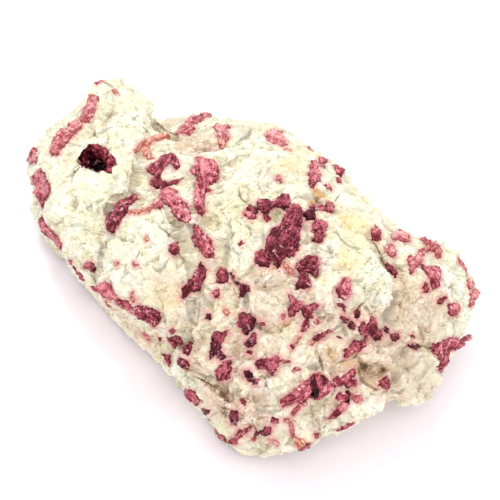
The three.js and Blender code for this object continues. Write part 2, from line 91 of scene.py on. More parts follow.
def makeCamera():
    data = bpy.data.cameras.new("camera")
    data.lens = viewpoint["lens"]
    data.sensor_width = viewpoint["sensor"]
    data.clip_start, data.clip_end = viewpoint["clip"]
    camera = bpy.data.objects.new("camera", data)
    camera.location = viewOrigin
    camera.rotation_mode = "QUATERNION"
    camera.rotation_quaternion = (-viewBack).to_track_quat("-Z", "Y")
    bpy.context.scene.collection.objects.link(camera)
    bpy.context.scene.camera = camera


# A plane turns flat points into lines that meet the rock; the drawing's own also does the reverse
class DrawingPlane:
    def __init__(self):
        self.unit = mm / viewpoint["unitsPerMm"]
        self.half = viewpoint["frameWidth"] / 2
        self.focal = viewpoint["frameWidth"] * viewpoint["lens"] / viewpoint["sensor"]
        self.origin = np.array(viewOrigin)
        self.axes = np.array([viewRight, viewUp, viewBack])

    def lines(self, points):
        across = (points[:, 0] - self.half)[:, None] * self.axes[0]
        upward = (self.half - points[:, 1])[:, None] * self.axes[1]
        ways = unitRows(across + upward - self.focal * self.axes[2])
        return np.repeat(self.origin[None], len(points), 0), ways

    def flatten(self, places):
        away = places - self.origin
        distance = -(away @ self.axes[2])
        scale = self.focal / distance
        flat = np.stack([self.half + away @ self.axes[0] * scale, self.half - away @ self.axes[1] * scale], 1)
        return flat, lengthsOf(away)


class TangentPlane:
    def __init__(self, centre, normal, along):
        self.unit = mm
        lift = 5 * mm  # it looks down on its place from a little above
        across = np.cross(normal, along)
        across /= np.linalg.norm(across)
        self.axes = np.array([np.cross(across, normal), across, normal])
        self.origin = np.array(centre) + self.axes[2] * lift

    def lines(self, points):
        starts = self.origin + (points * self.unit) @ self.axes[:2]
        return starts, np.repeat(-self.axes[2][None], len(points), 0)


drawing = DrawingPlane()


# Small helpers on meshes held as numpy arrays
def lengthsOf(rows):
    return np.linalg.norm(rows, axis=1)


def unitRows(rows):
    return rows / np.maximum(lengthsOf(rows), 1e-12)[:, None]


def meshArrays(mesh):
    places = np.empty(len(mesh.vertices) * 3)
    mesh.vertices.foreach_get("co", places)
    mesh.calc_loop_triangles()
    corners = np.empty(len(mesh.loop_triangles) * 3, np.int32)
    mesh.loop_triangles.foreach_get("vertices", corners)
    return places.reshape(-1, 3), corners.reshape(-1, 3)


def sideList(triangles):
    sides = np.concatenate([triangles[:, [0, 1]], triangles[:, [1, 2]], triangles[:, [2, 0]]])
    sides = np.sort(sides, axis=1)
    return np.unique(sides, axis=0)


def cornerNormals(places, triangles):
    a, b, c = (places[triangles[:, k]] for k in range(3))
    facing = np.cross(b - a, c - a)
    normals = np.zeros_like(places)
    for k in range(3):
        for axis in range(3):
            normals[:, axis] += np.bincount(triangles[:, k], facing[:, axis], len(places))
    return unitRows(normals)


def relaxed(values, sides, rounds, share=0.5):
    values = np.array(values, float)
    flat = values.reshape(len(values), -1)
    count = np.maximum(np.bincount(sides.ravel(), minlength=len(flat)), 1)[:, None]
    for _ in range(rounds):
        total = np.empty_like(flat)
        for axis in range(flat.shape[1]):
            column = flat[:, axis]
            total[:, axis] = np.bincount(sides[:, 0], column[sides[:, 1]], len(flat))
            total[:, axis] += np.bincount(sides[:, 1], column[sides[:, 0]], len(flat))
        flat += share * (total / count - flat)
    return flat.reshape(values.shape)


# how far the lengths of single waves differ, and what brings their sum to about 1
waveShape = {"lengths": (0.7, 1.5), "sum": 1.6}


def waves(points, length, source, count=9):
    # a smooth pseudo-random value between about -1 and 1
    total = np.zeros(len(points))
    for _ in range(count):
        way = np.array([source.gauss(0, 1) for _ in range(points.shape[1])])
        way *= 2 * math.pi / (length * source.uniform(*waveShape["lengths"])) / np.linalg.norm(way)
        total += np.sin(points @ way + source.uniform(0, 2 * math.pi))
    return total / math.sqrt(count / 2) / waveShape["sum"]


def nearest(points, seeds, count):
    tree = kdtree.KDTree(len(seeds))
    for k, seed in enumerate(seeds.tolist()):
        tree.insert(seed, k)
    tree.balance()
    found = [tree.find_n(point, count) for point in points.tolist()]
    which = np.array([[entry[1] for entry in row] for row in found])
    away = np.array([[entry[2] for entry in row] for row in found])
    return which, away


def gapTo(points, seeds):
    return nearest(points, seeds, 1)[1][:, 0]


def walked(numbers):
    # the points of an outline or a line that is given as a start and steps
    return np.cumsum(np.reshape(numbers, (-1, 2)), axis=0).tolist()


def stepsAlong(a, b, count):
    return [(a[0] + (b[0] - a[0]) * k / count, a[1] + (b[1] - a[1]) * k / count) for k in range(count)]


cubeKeys = (1, 5003, 25030009)


def spread(points, spacing, source):
    # one of the points from each cube of the given side; no two cubes of the lump share a key
    cubes = np.floor(points / spacing + source.random()).astype(np.int64)
    order = list(range(len(points)))
    source.shuffle(order)
    keys = cubes @ np.array(cubeKeys)
    _, first = np.unique(keys[order], return_index=True)
    return points[np.array(order)[first]]


def smoothStep(value):
    value = np.clip(value, 0.0, 1.0)
    return value * value * (3 - 2 * value)


def surfaceOf(places, triangles):
    return BVHTree.FromPolygons(places.tolist(), triangles.tolist())


def castOn(surface, starts, ways):
    depths = np.full(len(starts), np.nan)
    normals = np.zeros((len(starts), 3))
    for k, (start, way) in enumerate(zip(starts.tolist(), ways.tolist())):
        hit, normal, _, depth = surface.ray_cast(start, way)
        if hit is not None:
            depths[k] = depth
            normals[k] = normal
    return depths, normals


def placeOn(surface, points):
    starts, ways = drawing.lines(np.array(points, float))
    depths, _ = castOn(surface, starts, ways)
    met = ~np.isnan(depths)
    return starts[met] + ways[met] * depths[met][:, None]


def makeObject(name, mesh):
    made = bpy.data.objects.new(name, mesh)
    bpy.context.scene.collection.objects.link(made)
    return made


def evaluatedMesh(piece):
    return bpy.data.meshes.new_from_object(piece.evaluated_get(bpy.context.evaluated_depsgraph_get()))


def meshFrom(name, places, faces, layers=None):
    mesh = bpy.data.meshes.new(name)
    mesh.from_pydata(places.tolist(), [], faces.tolist())
    for layer, values in (layers or {}).items():
        mesh.attributes.new(layer, "FLOAT", "POINT").data.foreach_set("value", np.asarray(values, np.float32))
    mesh.update()
    return mesh


def shadeBySharpness(mesh, degrees):
    mesh.shade_smooth()
    mesh.set_sharp_from_angle(angle=math.radians(degrees))


def settle(piece, slotName, *nodes):
    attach(piece, "root")
    if nodes:
        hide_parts(*nodes)


# Shader helpers
def newMaterial(name):
    material = bpy.data.materials.new(name)
    material.use_nodes = True
    tree = material.node_tree
    tree.nodes.clear()
    output = tree.nodes.new("ShaderNodeOutputMaterial")
    shader = tree.nodes.new("ShaderNodeBsdfPrincipled")
    tree.links.new(shader.outputs[0], output.inputs["Surface"])
    return material, tree, shader


def plug(tree, value, socket):
    if isinstance(value, bpy.types.NodeSocket):
        tree.links.new(value, socket)
    elif isinstance(value, tuple) and len(value) == 3 and socket.type == "RGBA":
        socket.default_value = (*value, 1.0)
    else:
        socket.default_value = value


def node(tree, kind, output=0, settings=None, **inputs):
    made = tree.nodes.new("ShaderNode" + kind)
    for key, value in (settings or {}).items():
        setattr(made, key, value)
    for key, value in inputs.items():
        plug(tree, value, made.inputs[key])
    return made.outputs[output]


def blend(tree, share, first, second):
    made = tree.nodes.new("ShaderNodeMix")
    made.data_type = "RGBA"
    plug(tree, share, made.inputs[0])
    # its colour sockets
    plug(tree, first, made.inputs[6])
    plug(tree, second, made.inputs[7])
    return made.outputs[2]


def calc(tree, operation, first, second=0.0):
    made = tree.nodes.new("ShaderNodeMath")
    made.operation = operation
    plug(tree, first, made.inputs[0])
    plug(tree, second, made.inputs[1])
    return made.outputs[0]


def times(tree, first, second):
    return calc(tree, "MULTIPLY", first, second)


def plus(tree, first, second):
    return calc(tree, "ADD", first, second)


def ranged(tree, value, low, high, newLow=0.0, newHigh=1.0):
    made = tree.nodes.new("ShaderNodeMapRange")
    made.interpolation_type = "SMOOTHSTEP"
    for k, setting in enumerate((value, low, high, newLow, newHigh)):
        plug(tree, setting, made.inputs[k])
    return made.outputs[0]


def layerValue(tree, name):
    return node(tree, "Attribute", "Fac", {"attribute_name": name})


def cellValue(tree, coordinates, scale, channel=0):
    # a random value for each cell of a broken pattern
    cells = node(tree, "TexVoronoi", "Color", Vector=coordinates, Scale=scale)
    return node(tree, "SeparateColor", channel, Color=cells)


def roughNoise(tree, coordinates, scale, detail=3.0, rough=0.6):
    return node(tree, "TexNoise", "Fac", Vector=coordinates, Scale=scale, Detail=detail, Roughness=rough)


def finishSurface(tree, shader, settings, colour, roughness, height):
    plug(tree, colour, shader.inputs["Base Color"])
    plug(tree, ranged(tree, roughness, *settings["roughness"]), shader.inputs["Roughness"])
    for name, value in settings["shader"].items():
        shader.inputs[name].default_value = value
    strength, distance = settings["bump"]
    bump = node(tree, "Bump", 0, Height=height, Strength=strength, Distance=distance)
    plug(tree, bump, shader.inputs["Normal"])


# The crystals that are seen from the viewpoint and are solids of their own: shade, how far they stand
# proud in mm, and their outlines in drawing units, each as a start and the steps from point to point
seenCrystals = {
    "ridge_upper": ("rose", 0.7, [[89,95, 5,0, 4,2, -1,4, -2,6, 0,5, -3,6, -4,3, -5,2, -3,-3, 3,-7, -1,-4,
        4,-5, 2,-5]]),
    "ridge_lower": ("rose", 0.8, [[81,121, -1,7, -6,6, -6,-3, -2,-3, 3,-5, 6,-3], [62,128, 6,2, 6,4, -5,5,
        -3,5, -4,4, -2,5, -8,2, -2,-4, 2,-9, 4,-8]]),
    "flank_pale": ("rose", 0.6, [[33,147, 3,4, 1,6, -2,5, -5,1, -3,-2, 2,-6, 2,-5]]),
    "flank_long": ("magenta", 0.9, [[42,169, 3,5, 1,5, 3,4, 2,5, -2,6, -3,4, -2,5, 0,7, -3,-6, -3,-6, -4,-6,
        3,-4, -4,-4, -1,-6, 2,-4, 4,-3]]),
    "flank_low": ("magenta", 0.7, [[38,220, 5,0, 5,7, 5,6, 4,4, 5,6, -1,6, -4,-3, -4,-5, -5,-4, -5,-5,
        -3,-5]]),
    "back_blade": ("rose", 0.6, [[175,135, 4,-5, 1,-3, 6,-6, 5,-4, 6,-1, 3,-3, 7,-1, 4,3, -5,2, -4,3, -5,3,
        -4,2, 2,4, -3,4, -3,3, -4,-3, -5,1]]),
    "saddle_arch": ("salmon", 0.5, [[134,152, 2,-3, 5,-6, 5,-4, 6,-3, 8,-2, 7,-1, 3,1, -4,3, -5,2, -7,1,
        -4,3, -1,5, 2,6, 2,6, -5,-1, -4,-4, -1,-4, -5,1]]),
    "back_pale": ("rose", 0.5, [[213,126, 4,-3, 5,2, 8,0, -4,4, 4,5, -1,5, -4,4, -3,6, -3,-6, 1,-5, -3,-4,
        1,-3, -3,-2]]),
    "rose_big": ("magenta", 1.1, [[196,158, 5,-1, 5,3, 7,0, 4,5, 2,7, -1,7, -4,3, -5,2, -2,5, 4,2, -5,1,
        -6,-2, -1,-6, -2,-8, -4,-1, -2,-4, 3,-4, 3,-4], [196,182, 3,2, 1,5, 5,1, 0,7, -1,8, 0,7, -2,4, -4,-4,
        -3,-5, 0,-7, 0,-7]]),
    "groove_dark": ("wine", 0.9, [[133,193, 4,3, 1,4, -5,3, -6,3, 1,5, -2,4, -5,5, -3,5, -3,6, -3,2, -4,-3,
        -3,-7, 1,-5, 3,-5, 5,-4, 3,-6, 5,-3, 7,-2]]),
    "blade_centre": ("magenta", 0.8, [[194,224, 4,1, 3,7, 4,2, 5,4, 2,6, 2,7, -1,6, -4,1, -4,-2, -5,-6,
        -4,-4, -4,-5, -1,-4, 5,-4, -2,-5]]),
    "rim_knot": ("wine", 0.6, [[84,264, 6,-2, 4,2, 1,5, 0,4, -4,-1, -2,-3, -4,-2]]),
    "slope_blade": ("wine", 0.8, [[200,262, 4,4, 3,4, -2,6, -2,4, -1,5, -2,5, -5,2, -5,1, -3,3, -4,3, -2,-1,
        2,-6, 0,-4, 4,-5, 3,-4, 4,-5, 3,-6]]),
    "back_plate": ("rose", 0.6, [[264,135, 4,-4, 6,-3, 6,3, 4,-3, -2,6, 2,3, 4,4, -1,4, -6,1, -6,-2, -7,-2,
        -1,-3]]),
    "crest_blade": ("magenta", 0.8, [[312,160, 4,1, 2,6, -1,3, 3,1, 1,6, -2,5, -3,1, -1,2, -3,5, -2,-6,
        -1,-8, 1,-7, 1,-4]]),
    "crest_stub": ("magenta", 0.6, [[333,165, 3,-1, 4,3, 5,2, -2,5, -2,3, -4,-3, -3,-3, 1,-3]]),
    "centre_cluster": ("wine", 0.9, [[257,203, 3,-4, 7,0, 4,2, 6,0, -1,5, -3,3, -5,4, -6,-1, -5,-3],
        [276,200, 3,-3, 4,-3, 5,2, 3,5, -2,6, -4,3, -5,-2, -4,-3], [282,220, 4,-8, 4,-6, 6,-2, 6,5, 1,10,
        -2,7, -3,7, 2,7, -2,9, -6,7, -6,1, -5,3, -7,0, -6,-6, -3,-7, 2,-9, 6,-9, 7,-2], [257,252, 5,-2, 5,2,
        3,5, 0,5, -2,5, -4,-1, -6,-1, -3,-3, 0,-6]]),
    "cluster_dark": ("plum", 0.7, [[304,213, 4,-4, 6,1, 2,4, -2,5, -7,1, -3,-3]]),
    "cluster_east": ("wine", 0.8, [[312,225, 3,-4, 6,-1, 5,2, 2,4, -3,6, -1,5, -2,5, -4,1, -5,-3, 2,-4,
        -3,-5]]),
    "dark_arch": ("wine", 0.8, [[146,170, 6,-7, 6,-3, 3,-3, 5,-2, 6,-2, 4,4, 3,6, 1,5, -4,1, -4,-5, -4,-1,
        -3,3, -3,6, -2,5, 3,4, 5,2, 9,-3, 1,2, -8,4, -7,3, -7,-1, -5,-4, 0,-5, 4,-4, -5,-2]]),
    "magenta_long": ("magenta", 1.0, [[161,190, 5,-1, 6,0, 5,2, 1,5, 5,5, 5,7, 2,6, 0,5, -2,4, -6,-2, -5,-3,
        -4,-5, -3,-7, -4,-2, -4,-4, -3,-4]]),
    "tongue_dark": ("wine", 0.9, [[297,262, 5,-2, 5,-4, 5,-1, 5,3, 2,5, -1,7, 0,5, -4,1, -4,-3, -4,-1, -6,0,
        -4,-3], [300,271, 6,1, 3,6, 2,7, -3,3, -6,0, -6,2, -1,-5, 3,-5]]),
    "tongue_blade": ("magenta", 0.8, [[337,289, 4,-5, 2,-5, 3,-2, 4,3, 1,7, 0,6, -2,5, -4,1, -3,-2, -4,1,
        -1,-5]]),
    "lobe_cap": ("rose", 0.7, [[391,237, 4,-4, 4,-4, 3,2, 5,3, 4,4, -3,4, -8,1, -6,-2]]),
    "lobe_knot": ("rose", 0.7, [[384,247, 4,-3, 5,1, 2,4, 1,5, -3,3, -5,-4, -4,-1]]),
    "crack_dark": ("plum", 0.4, [[385,265, 3,-1, 5,3, 3,2, 1,4, -2,5, -3,-4, -4,-4]]),
    "lobe_long": ("rose", 0.7, [[407,262, 1,-5, 3,-3, 2,4, 5,-4, 1,-4, 5,-2, 4,-2, 2,1, -1,3, -4,3, -3,4,
        -1,5, -3,5, -4,1, -1,4, -2,2, -2,-3, -1,-5]]),
    "lobe_pair": ("rose", 0.7, [[420,238, 5,-1, 4,3, 5,2, 0,4, -4,3, -3,-4, -4,-3], [433,246, 3,-3, 5,3, 1,5,
        -1,3, -1,4, -3,2, -1,-6, -2,-3, -3,-1]]),
    "lobe_magenta": ("magenta", 0.8, [[420,264, 5,3, 5,0, 4,-1, 4,1, 3,4, -1,6, 0,6, -2,5, -6,-1, -2,-6,
        -3,-4, -1,-6, -4,-4]]),
    "rim_east": ("rose", 0.6, [[472,290, 7,0, 1,3, -3,5, -3,3, 0,4, -3,2, -2,-2, 2,-6, -1,-5]]),
    "end_triangle": ("magenta", 0.9, [[430,348, 4,-3, 6,-3, 6,-2, 4,-2, 6,1, 3,3, -3,5, -5,4, -3,4, 1,5,
        -2,5, -4,3, -1,4, -3,-1, 0,-5, 2,-5, -4,-5, -4,-3], [455,344, 5,0, 6,-4, 6,-5, -1,3, -6,5, -5,5,
        -5,2]]),
    "grain_bed": ("wine", 0.7, [[359,331, 0,-5, 4,-4, 4,3, 3,-2, 1,-5, 1,-2, 3,2, 2,5, 0,5, -1,3, -4,1, -5,1,
        -5,3]]),
    "wine_blade": ("magenta", 0.7, [[344,356, 1,-6, 5,-4, 2,-4, 6,-1, 5,-1, 3,-4, 4,-4, 1,3, -4,6, -3,6,
        -4,3, -6,3, -5,4, -3,1]]),
    "bow": ("wine", 0.6, [[288,294, 5,3, 5,5, 5,-1, 1,4, -3,4, -4,2, -3,5, -4,0, -2,-7, 3,-6], [303,306, 5,0,
        5,-2, 5,0, -1,5, -5,2, 0,7, -3,2, -3,-2, -3,-3, -1,-5]]),
    "mid_dark": ("plum", 0.9, [[238,316, 5,-3, 6,1, 5,3, 2,4, -1,5, -3,4, -4,4, -3,0, -2,-5, -5,-3, -1,-4,
        3,-3]]),
    "leg_west": ("plum", 0.7, [[212,335, 5,-4, 5,2, 5,-2, -2,6, -2,4, -2,4, -1,5, 4,4, 1,4, -5,2, -3,-5,
        -2,-2, -2,4, -3,2, -1,-5, 2,-4, 0,-7]]),
    "leg_east": ("wine", 0.8, [[216,370, 5,-4, 5,-5, 5,0, 0,6, -1,6, 0,6, -5,1, -4,0, -4,0, -2,-5]]),
    "low_blade": ("wine", 0.7, [[255,363, 5,-4, 7,0, 6,-2, 5,0, 2,3, 6,1, 4,0, -1,2, -9,-1, -3,4, -2,5, -4,4,
        -2,-4, -4,-2, -7,-1]]),
    "wall_pair": ("wine", 0.7, [[167,338, 4,0, 4,-1, 5,1, 3,4, -2,3, -4,1, -2,3, -3,-3, -2,-4], [183,347,
        4,-4, 4,-1, 1,5, -1,5, -3,3, -3,-2, -3,-3]]),
    "wall_stub": ("wine", 0.6, [[177,361, 4,-3, 4,2, 3,4, 2,3, -4,3, -4,-2, -4,-3]]),
    "wall_upper": ("magenta", 0.8, [[90,287, 5,1, 5,-4, 5,-3, 4,2, 3,3, 0,5, 4,4, 2,4, -2,3, -3,-3, -5,-1,
        -4,-1, -4,-4, -5,-2]]),
    "wall_long": ("wine", 0.8, [[134,307, 6,-1, 7,1, 6,2, 5,3, 3,6, -2,3, -2,4, -4,1, -4,-4, -6,-2, -5,-2,
        -2,-6]]),
    "wedge_blade": ("magenta", 0.7, [[184,392, 3,-4, 4,2, 5,3, 3,5, 0,5, -3,3, -4,-4, -4,-4]]),
    "front_band": ("magenta", 1.0, [[280,403, 3,-5, 7,-4, 7,-6, 4,-5, 8,-4, 2,7, 1,5, -2,6, -4,4, -6,1, -6,1,
        -6,2, -5,2], [310,378, 4,-5, 5,0, 4,3, 4,2, 3,6, 3,4, -3,3, -5,3, -5,4, -5,2, -4,-3, 2,-6, -3,-3,
        2,-5], [330,383, 5,-5, 3,-2, 3,3, 4,-4, 4,-2, 3,-4, 3,0, 0,5, -2,4, 2,3, 2,3, -4,2, -4,2, -3,0,
        -1,-4, -5,1, -5,2, -4,2]]),
    "front_blade": ("magenta", 0.7, [[328,418, 4,-5, 6,-6, 5,-5, 5,1, -1,5, -5,5, -6,4, -6,2]]),
    "front_edge": ("salmon", 0.5, [[292,438, 3,-1, 4,3, 5,5, -4,5, -3,-5]]),
}

# Smaller crystals and grains around them, in the same terms, with one outline each
smallCrystals = [
    ("rose", 0.4, [93,81, 5,-2, 6,1, -1,2, -4,1, -2,1]),
    ("salmon", 0.3, [112,89, 2,0, 4,3, -1,2, -5,-3]),
    ("salmon", 0.3, [132,84, 5,1, 2,1, -4,1]),
    ("rose", 1.2, [157,198, 4,1, 2,3, 0,5, -4,2, -4,-1, -2,-4, 1,-4]),
    ("salmon", 0.25, [127,211, 13,-1, 10,-3, 5,1, -5,2, -12,3, -10,1]),
    ("wine", 0.8, [172,243, 4,-1, 4,3, 1,4, -3,3, -1,3, -5,-1, -3,-4, 1,-5]),
    ("salmon", 0.3, [145,241, 2,-3, 2,1, 0,3, -3,1]),
    ("rose", 0.3, [132,262, 6,1, 0,2, -5,0]),
    ("salmon", 0.3, [114,263, 4,-1, 0,3, -3,1]),
    ("wine", 0.7, [221,267, 4,2, 3,5, 0,6, -3,3, -4,1, -4,-3, 0,-7, 2,-4]),
    ("wine", 0.5, [212,293, 4,-3, 3,0, 0,4, -2,4, -2,-1]),
    ("plum", 0.4, [240,283, 3,3, 5,0, 1,4, -3,3, -3,3, -3,1, 1,-6, -2,-3]),
    ("plum", 0.2, [230,273, 2,0, 4,8, 4,3, -3,0, -5,-7]),
    ("plum", 0.7, [246,208, 3,-3, 5,1, 3,2, -1,5, -6,-1]),
    ("magenta", 0.6, [246,209, 4,3, 6,2, 0,4, -5,1, -5,-2, -3,-3]),
    ("magenta", 0.4, [263,213, 4,1, 3,4, -2,4, -4,-3]),
    ("plum", 0.7, [297,206, 3,-1, 2,5, -2,2, -3,-3]),
    ("wine", 0.4, [272,258, 9,0, -1,6, -3,4, -3,-4]),
    ("salmon", 0.15, [281,262, 3,0, 7,8, 6,7, -2,1, -7,-7]),
    ("salmon", 0.3, [284,151, 3,-3, 4,1, -1,3]),
    ("magenta", 0.3, [276,178, 2,-4, 3,4, 1,4, -5,-2]),
    ("rose", 0.3, [308,142, 2,2, 2,5, 3,2, -3,0, -2,-3]),
    ("magenta", 0.6, [320,157, 3,0, 5,4, -2,2, -2,4, -4,-1, -1,-4]),
    ("rose", 0.5, [335,178, 4,0, 3,3, -1,3, -3,-1, -2,-3]),
    ("magenta", 0.5, [326,184, 4,0, 2,3, -1,3, -3,-1, -2,-2]),
    ("wine", 0.7, [326,203, 3,-2, 4,2, 1,5, -1,4, -5,0, -3,-3]),
    ("magenta", 0.7, [371,230, 4,-2, 1,-3, 4,5, 1,5, 0,5, -4,2, -4,-2, -2,-4]),
    ("magenta", 0.5, [423,290, 2,-8, 3,2, 1,5, -1,3, -4,0]),
    ("wine", 0.4, [437,302, 5,-3, 2,-2, 4,0, -5,4, -2,3, -3,0]),
    ("magenta", 0.8, [450,305, 5,-2, 4,3, 2,3, -3,4, -4,3, -4,-3, -1,-5]),
    ("rose", 0.4, [459,258, 3,3, 3,4, 3,4, -2,1, -4,-4, -2,-4]),
    ("rose", 0.5, [469,279, 1,3, 4,1, -1,4, -2,3, -3,-2, -1,-4]),
    ("magenta", 0.25, [67,261, 3,1, 5,7, 5,5, 5,7, -2,1, -5,-6, -6,-8]),
    ("magenta", 0.6, [117,299, 5,1, 6,1, 2,5, 4,3, 4,7, -4,-1, -5,-4, -6,-3, -5,-4]),
    ("rose", 0.2, [140,332, 2,-1, 3,4, 4,3, 1,2, -4,-2]),
    ("salmon", 0.2, [131,294, 2,-2, 1,7, 0,4, -2,-1]),
    ("wine", 0.15, [157,336, 2,1, 3,4, -2,0]),
    ("salmon", 0.2, [104,302, 2,0, 3,5, -2,0]),
    ("wine", 0.5, [169,330, 4,-1, 2,3, -2,2, -3,0]),
    ("magenta", 0.4, [162,353, 4,2, 4,0, 0,5, -2,6, -2,-6]),
    ("plum", 0.5, [205,319, 2,-5, 3,0, 1,4, -2,2]),
    ("salmon", 0.3, [223,311, 5,-2, 1,3, -3,3]),
    ("plum", 0.6, [253,333, 2,-1, 1,5, -1,6, -5,3, -4,1, -2,-3, 3,-3, 3,-4]),
    ("wine", 0.2, [258,324, 4,-1, 4,1, -4,2]),
    ("plum", 0.4, [247,351, 6,0, -1,3, -4,-1]),
    ("black", 0.5, [244,372, 4,-1, 4,2, 1,5, -1,3, -2,1, -4,-4]),
    ("wine", 0.5, [253,378, 5,2, -1,3, -3,2, -3,-3]),
    ("magenta", 0.5, [305,320, 4,0, 0,6, -4,5, -4,0, 2,-5]),
    ("rose", 0.3, [281,316, 3,-3, 1,4, -2,3]),
    ("rose", 0.2, [314,322, 3,-2, 3,3, -3,2]),
    ("wine", 0.5, [312,338, 3,-3, 5,-1, 6,-3, 5,0, -5,4, -5,3, -4,3, -4,-1]),
    ("salmon", 0.2, [310,344, 2,-4, 3,1, -3,5]),
    ("wine", 0.3, [290,346, 2,-2, 3,2, -2,3, -2,-1]),
    ("salmon", 0.2, [295,344, 4,-7, 1,1, -3,5]),
    ("wine", 0.3, [337,303, 4,1, 4,2, 0,5, -2,-4, -4,0]),
    ("wine", 0.2, [337,337, 3,-1, 1,2, -2,1]),
    ("plum", 0.5, [341,316, 4,1, 3,3, -1,3, -3,-1, -2,-3]),
    ("plum", 0.6, [350,321, 3,1, 3,4, -2,4, -4,-1, -2,-3]),
    ("plum", 0.6, [354,311, 4,-2, 3,4, -2,4, -4,0]),
    ("wine", 0.6, [371,334, 5,-3, 5,0, 1,4, -1,4, -5,1, -4,-2]),
    ("plum", 0.5, [383,329, 3,-3, 3,3, -1,4, -4,-1]),
    ("plum", 0.6, [390,335, 5,-2, 4,1, 0,4, -4,3, -4,-2]),
    ("plum", 0.3, [410,336, 2,-1, 3,2, -4,0]),
    ("plum", 0.4, [408,346, 4,-1, 4,0, 5,1, -3,3, -5,0]),
    ("wine", 0.5, [379,381, 4,-2, 4,-2, 3,5, 0,6, -3,1, -4,-2, -4,-1]),
    ("plum", 0.5, [201,409, 4,1, 4,1, -2,4, -2,2, -3,-4]),
    ("wine", 0.2, [205,416, 3,1, 4,5, -4,-3]),
    ("rose", 0.2, [216,431, 3,3, 4,3, 3,5, -3,-1, -4,-5]),
    ("wine", 0.3, [240,400, 3,-2, 3,4, -1,3, -3,-2]),
    ("plum", 0.6, [230,413, 4,-2, 4,2, 0,7, -2,5, -4,-1, -2,-5]),
    ("magenta", 0.5, [228,441, 6,-2, 2,-5, 5,-3, 6,-3, 4,-2, -1,3, -6,5, -5,4, -3,5, -5,1, -3,-1]),
    ("plum", 0.6, [260,431, 5,-3, 5,-1, 0,5, -3,4, -5,-1]),
    ("plum", 0.2, [254,435, 3,-3, 4,-1, -4,4, -2,3]),
    ("wine", 0.5, [270,422, 3,-4, 5,2, -1,4, -4,0]),
    ("salmon", 0.2, [251,439, 3,-2, 2,2, -2,3]),
    ("rose", 0.2, [272,441, 7,1, -1,4, -3,-3]),
    ("rose", 0.5, [291,414, 3,-5, 6,-4, 6,-4, 1,4, -3,4, -6,2, -5,5]),
    ("salmon", 0.6, [217,138, 8,2, 0,4, -3,5, -3,-5]),
    ("magenta", 0.6, [308,180, 6,1, -1,5, -2,3, -2,-4]),
    ("black", 1.5, [320,376, 4,0, 4,4, -2,5, -4,-2]),
    ("black", 1.5, [311,380, 4,-3, 3,7, -1,10, -4,4, -2,-8]),
    ("wine", 0.3, [238,244, 4,-4, 1,4, -3,2]),
    ("wine", 0.3, [311,206, 7,-1, 7,0, 1,4, -7,1, -7,-1]),
    ("magenta", 0.6, [335,399, 3,-5, 5,-2, 4,2, 1,5, -2,3, -6,0]),
    ("black", 0.5, [346,390, 4,3, 0,6, -1,5, -3,-1, 2,-4, 0,-4]),
    ("rose", 0.3, [351,393, 5,2, 5,2, 3,3, -4,3, -5,-1, -3,-4]),
    ("magenta", 0.4, [292,371, 5,-5, 3,4, -3,1, -4,1]),
    ("rose", 0.3, [284,420, 4,-1, 2,5, -3,-1]),
    ("rose", 0.15, [289,423, 2,0, 3,13, -2,1]),
    ("ochre", 0.4, [299,440, 4,-2, 3,5, -2,3, -3,-3]),
    ("wine", 0.4, [298,451, 5,-4, 5,-2, 3,-3, -1,6, -4,2, -5,2]),
    ("magenta", 0.2, [336,432, 5,-3, 6,-3, 7,-4, -1,2, -7,4, -6,4]),
    ("wine", 0.3, [315,434, 3,0, 0,3, -2,0]),
]

# Where the rock is cracked or stepped: width and depth in mm, the side that drops (0 is both), then the
# line as a start and steps
rockLines = {
    "tongueEdge": (4.5, 2.1, -1, [364,230, 7,12, 9,13, 3,9, 6,6, 8,11, -1,11, -4,15, -6,10, -6,10]),
    "blockEdge": (2.6, 1.3, -1, [150,222, 9,4, 9,7, 7,7, 9,10, 2,12]),
    "blockWest": (2.4, 1.1, 1, [118,226, -10,12, -7,14, 0,14, 5,14]),
    "plateauGroove": (1.1, 0.8, 0, [100,240, 4,16, 3,16, 1,18]),
    "columnWest": (3.0, 1.5, 1, [230,228, -1,12, -1,10, -3,10, -4,8]),
    "upperLedge": (2.2, 1.0, -1, [220,167, 7,-4, 7,-3]),
    "backLedge": (2.2, 1.0, -1, [232,146, 9,-6, 9,-6]),
    "westShelf": (1.8, 0.7, -1, [96,236, 16,2, 14,2, 13,12]),
    "lobeShelf": (1.8, 0.9, -1, [386,345, 14,-2, 15,4, 17,4]),
    "beigeShelf": (1.8, 0.8, -1, [398,362, 14,10, 8,12, -2,14]),
    "frontShelf": (1.2, 0.8, 0, [310,410, 12,-8, 12,2, 18,4, 16,-8]),
    "wallShelf": (1.4, 0.9, 0, [84,288, 16,18, 20,16, 20,14, 18,14]),
    "frontLedge": (2.6, 1.6, -1, [195,376, 13,6, 11,7, 10,12]),
    "southLedge": (2.6, 1.5, -1, [256,405, 8,3, 9,1, 8,-2]),
    "notchLedge": (2.4, 1.3, -1, [354,312, 9,-9, 10,13]),
    "quartzStep": (2.2, 0.6, 1, [203,292, -2,11, -3,13, -4,12]),
    "midStep": (2.2, 1.2, 1, [246,294, 1,9, 3,9, 6,10]),
    "southStep": (2.0, 1.0, -1, [255,327, 10,5, 10,2, 7,-5]),
    "saddleLedge": (3.0, 1.8, 1, [154,113, 1,8, 5,5, 6,5, 9,3]),
}

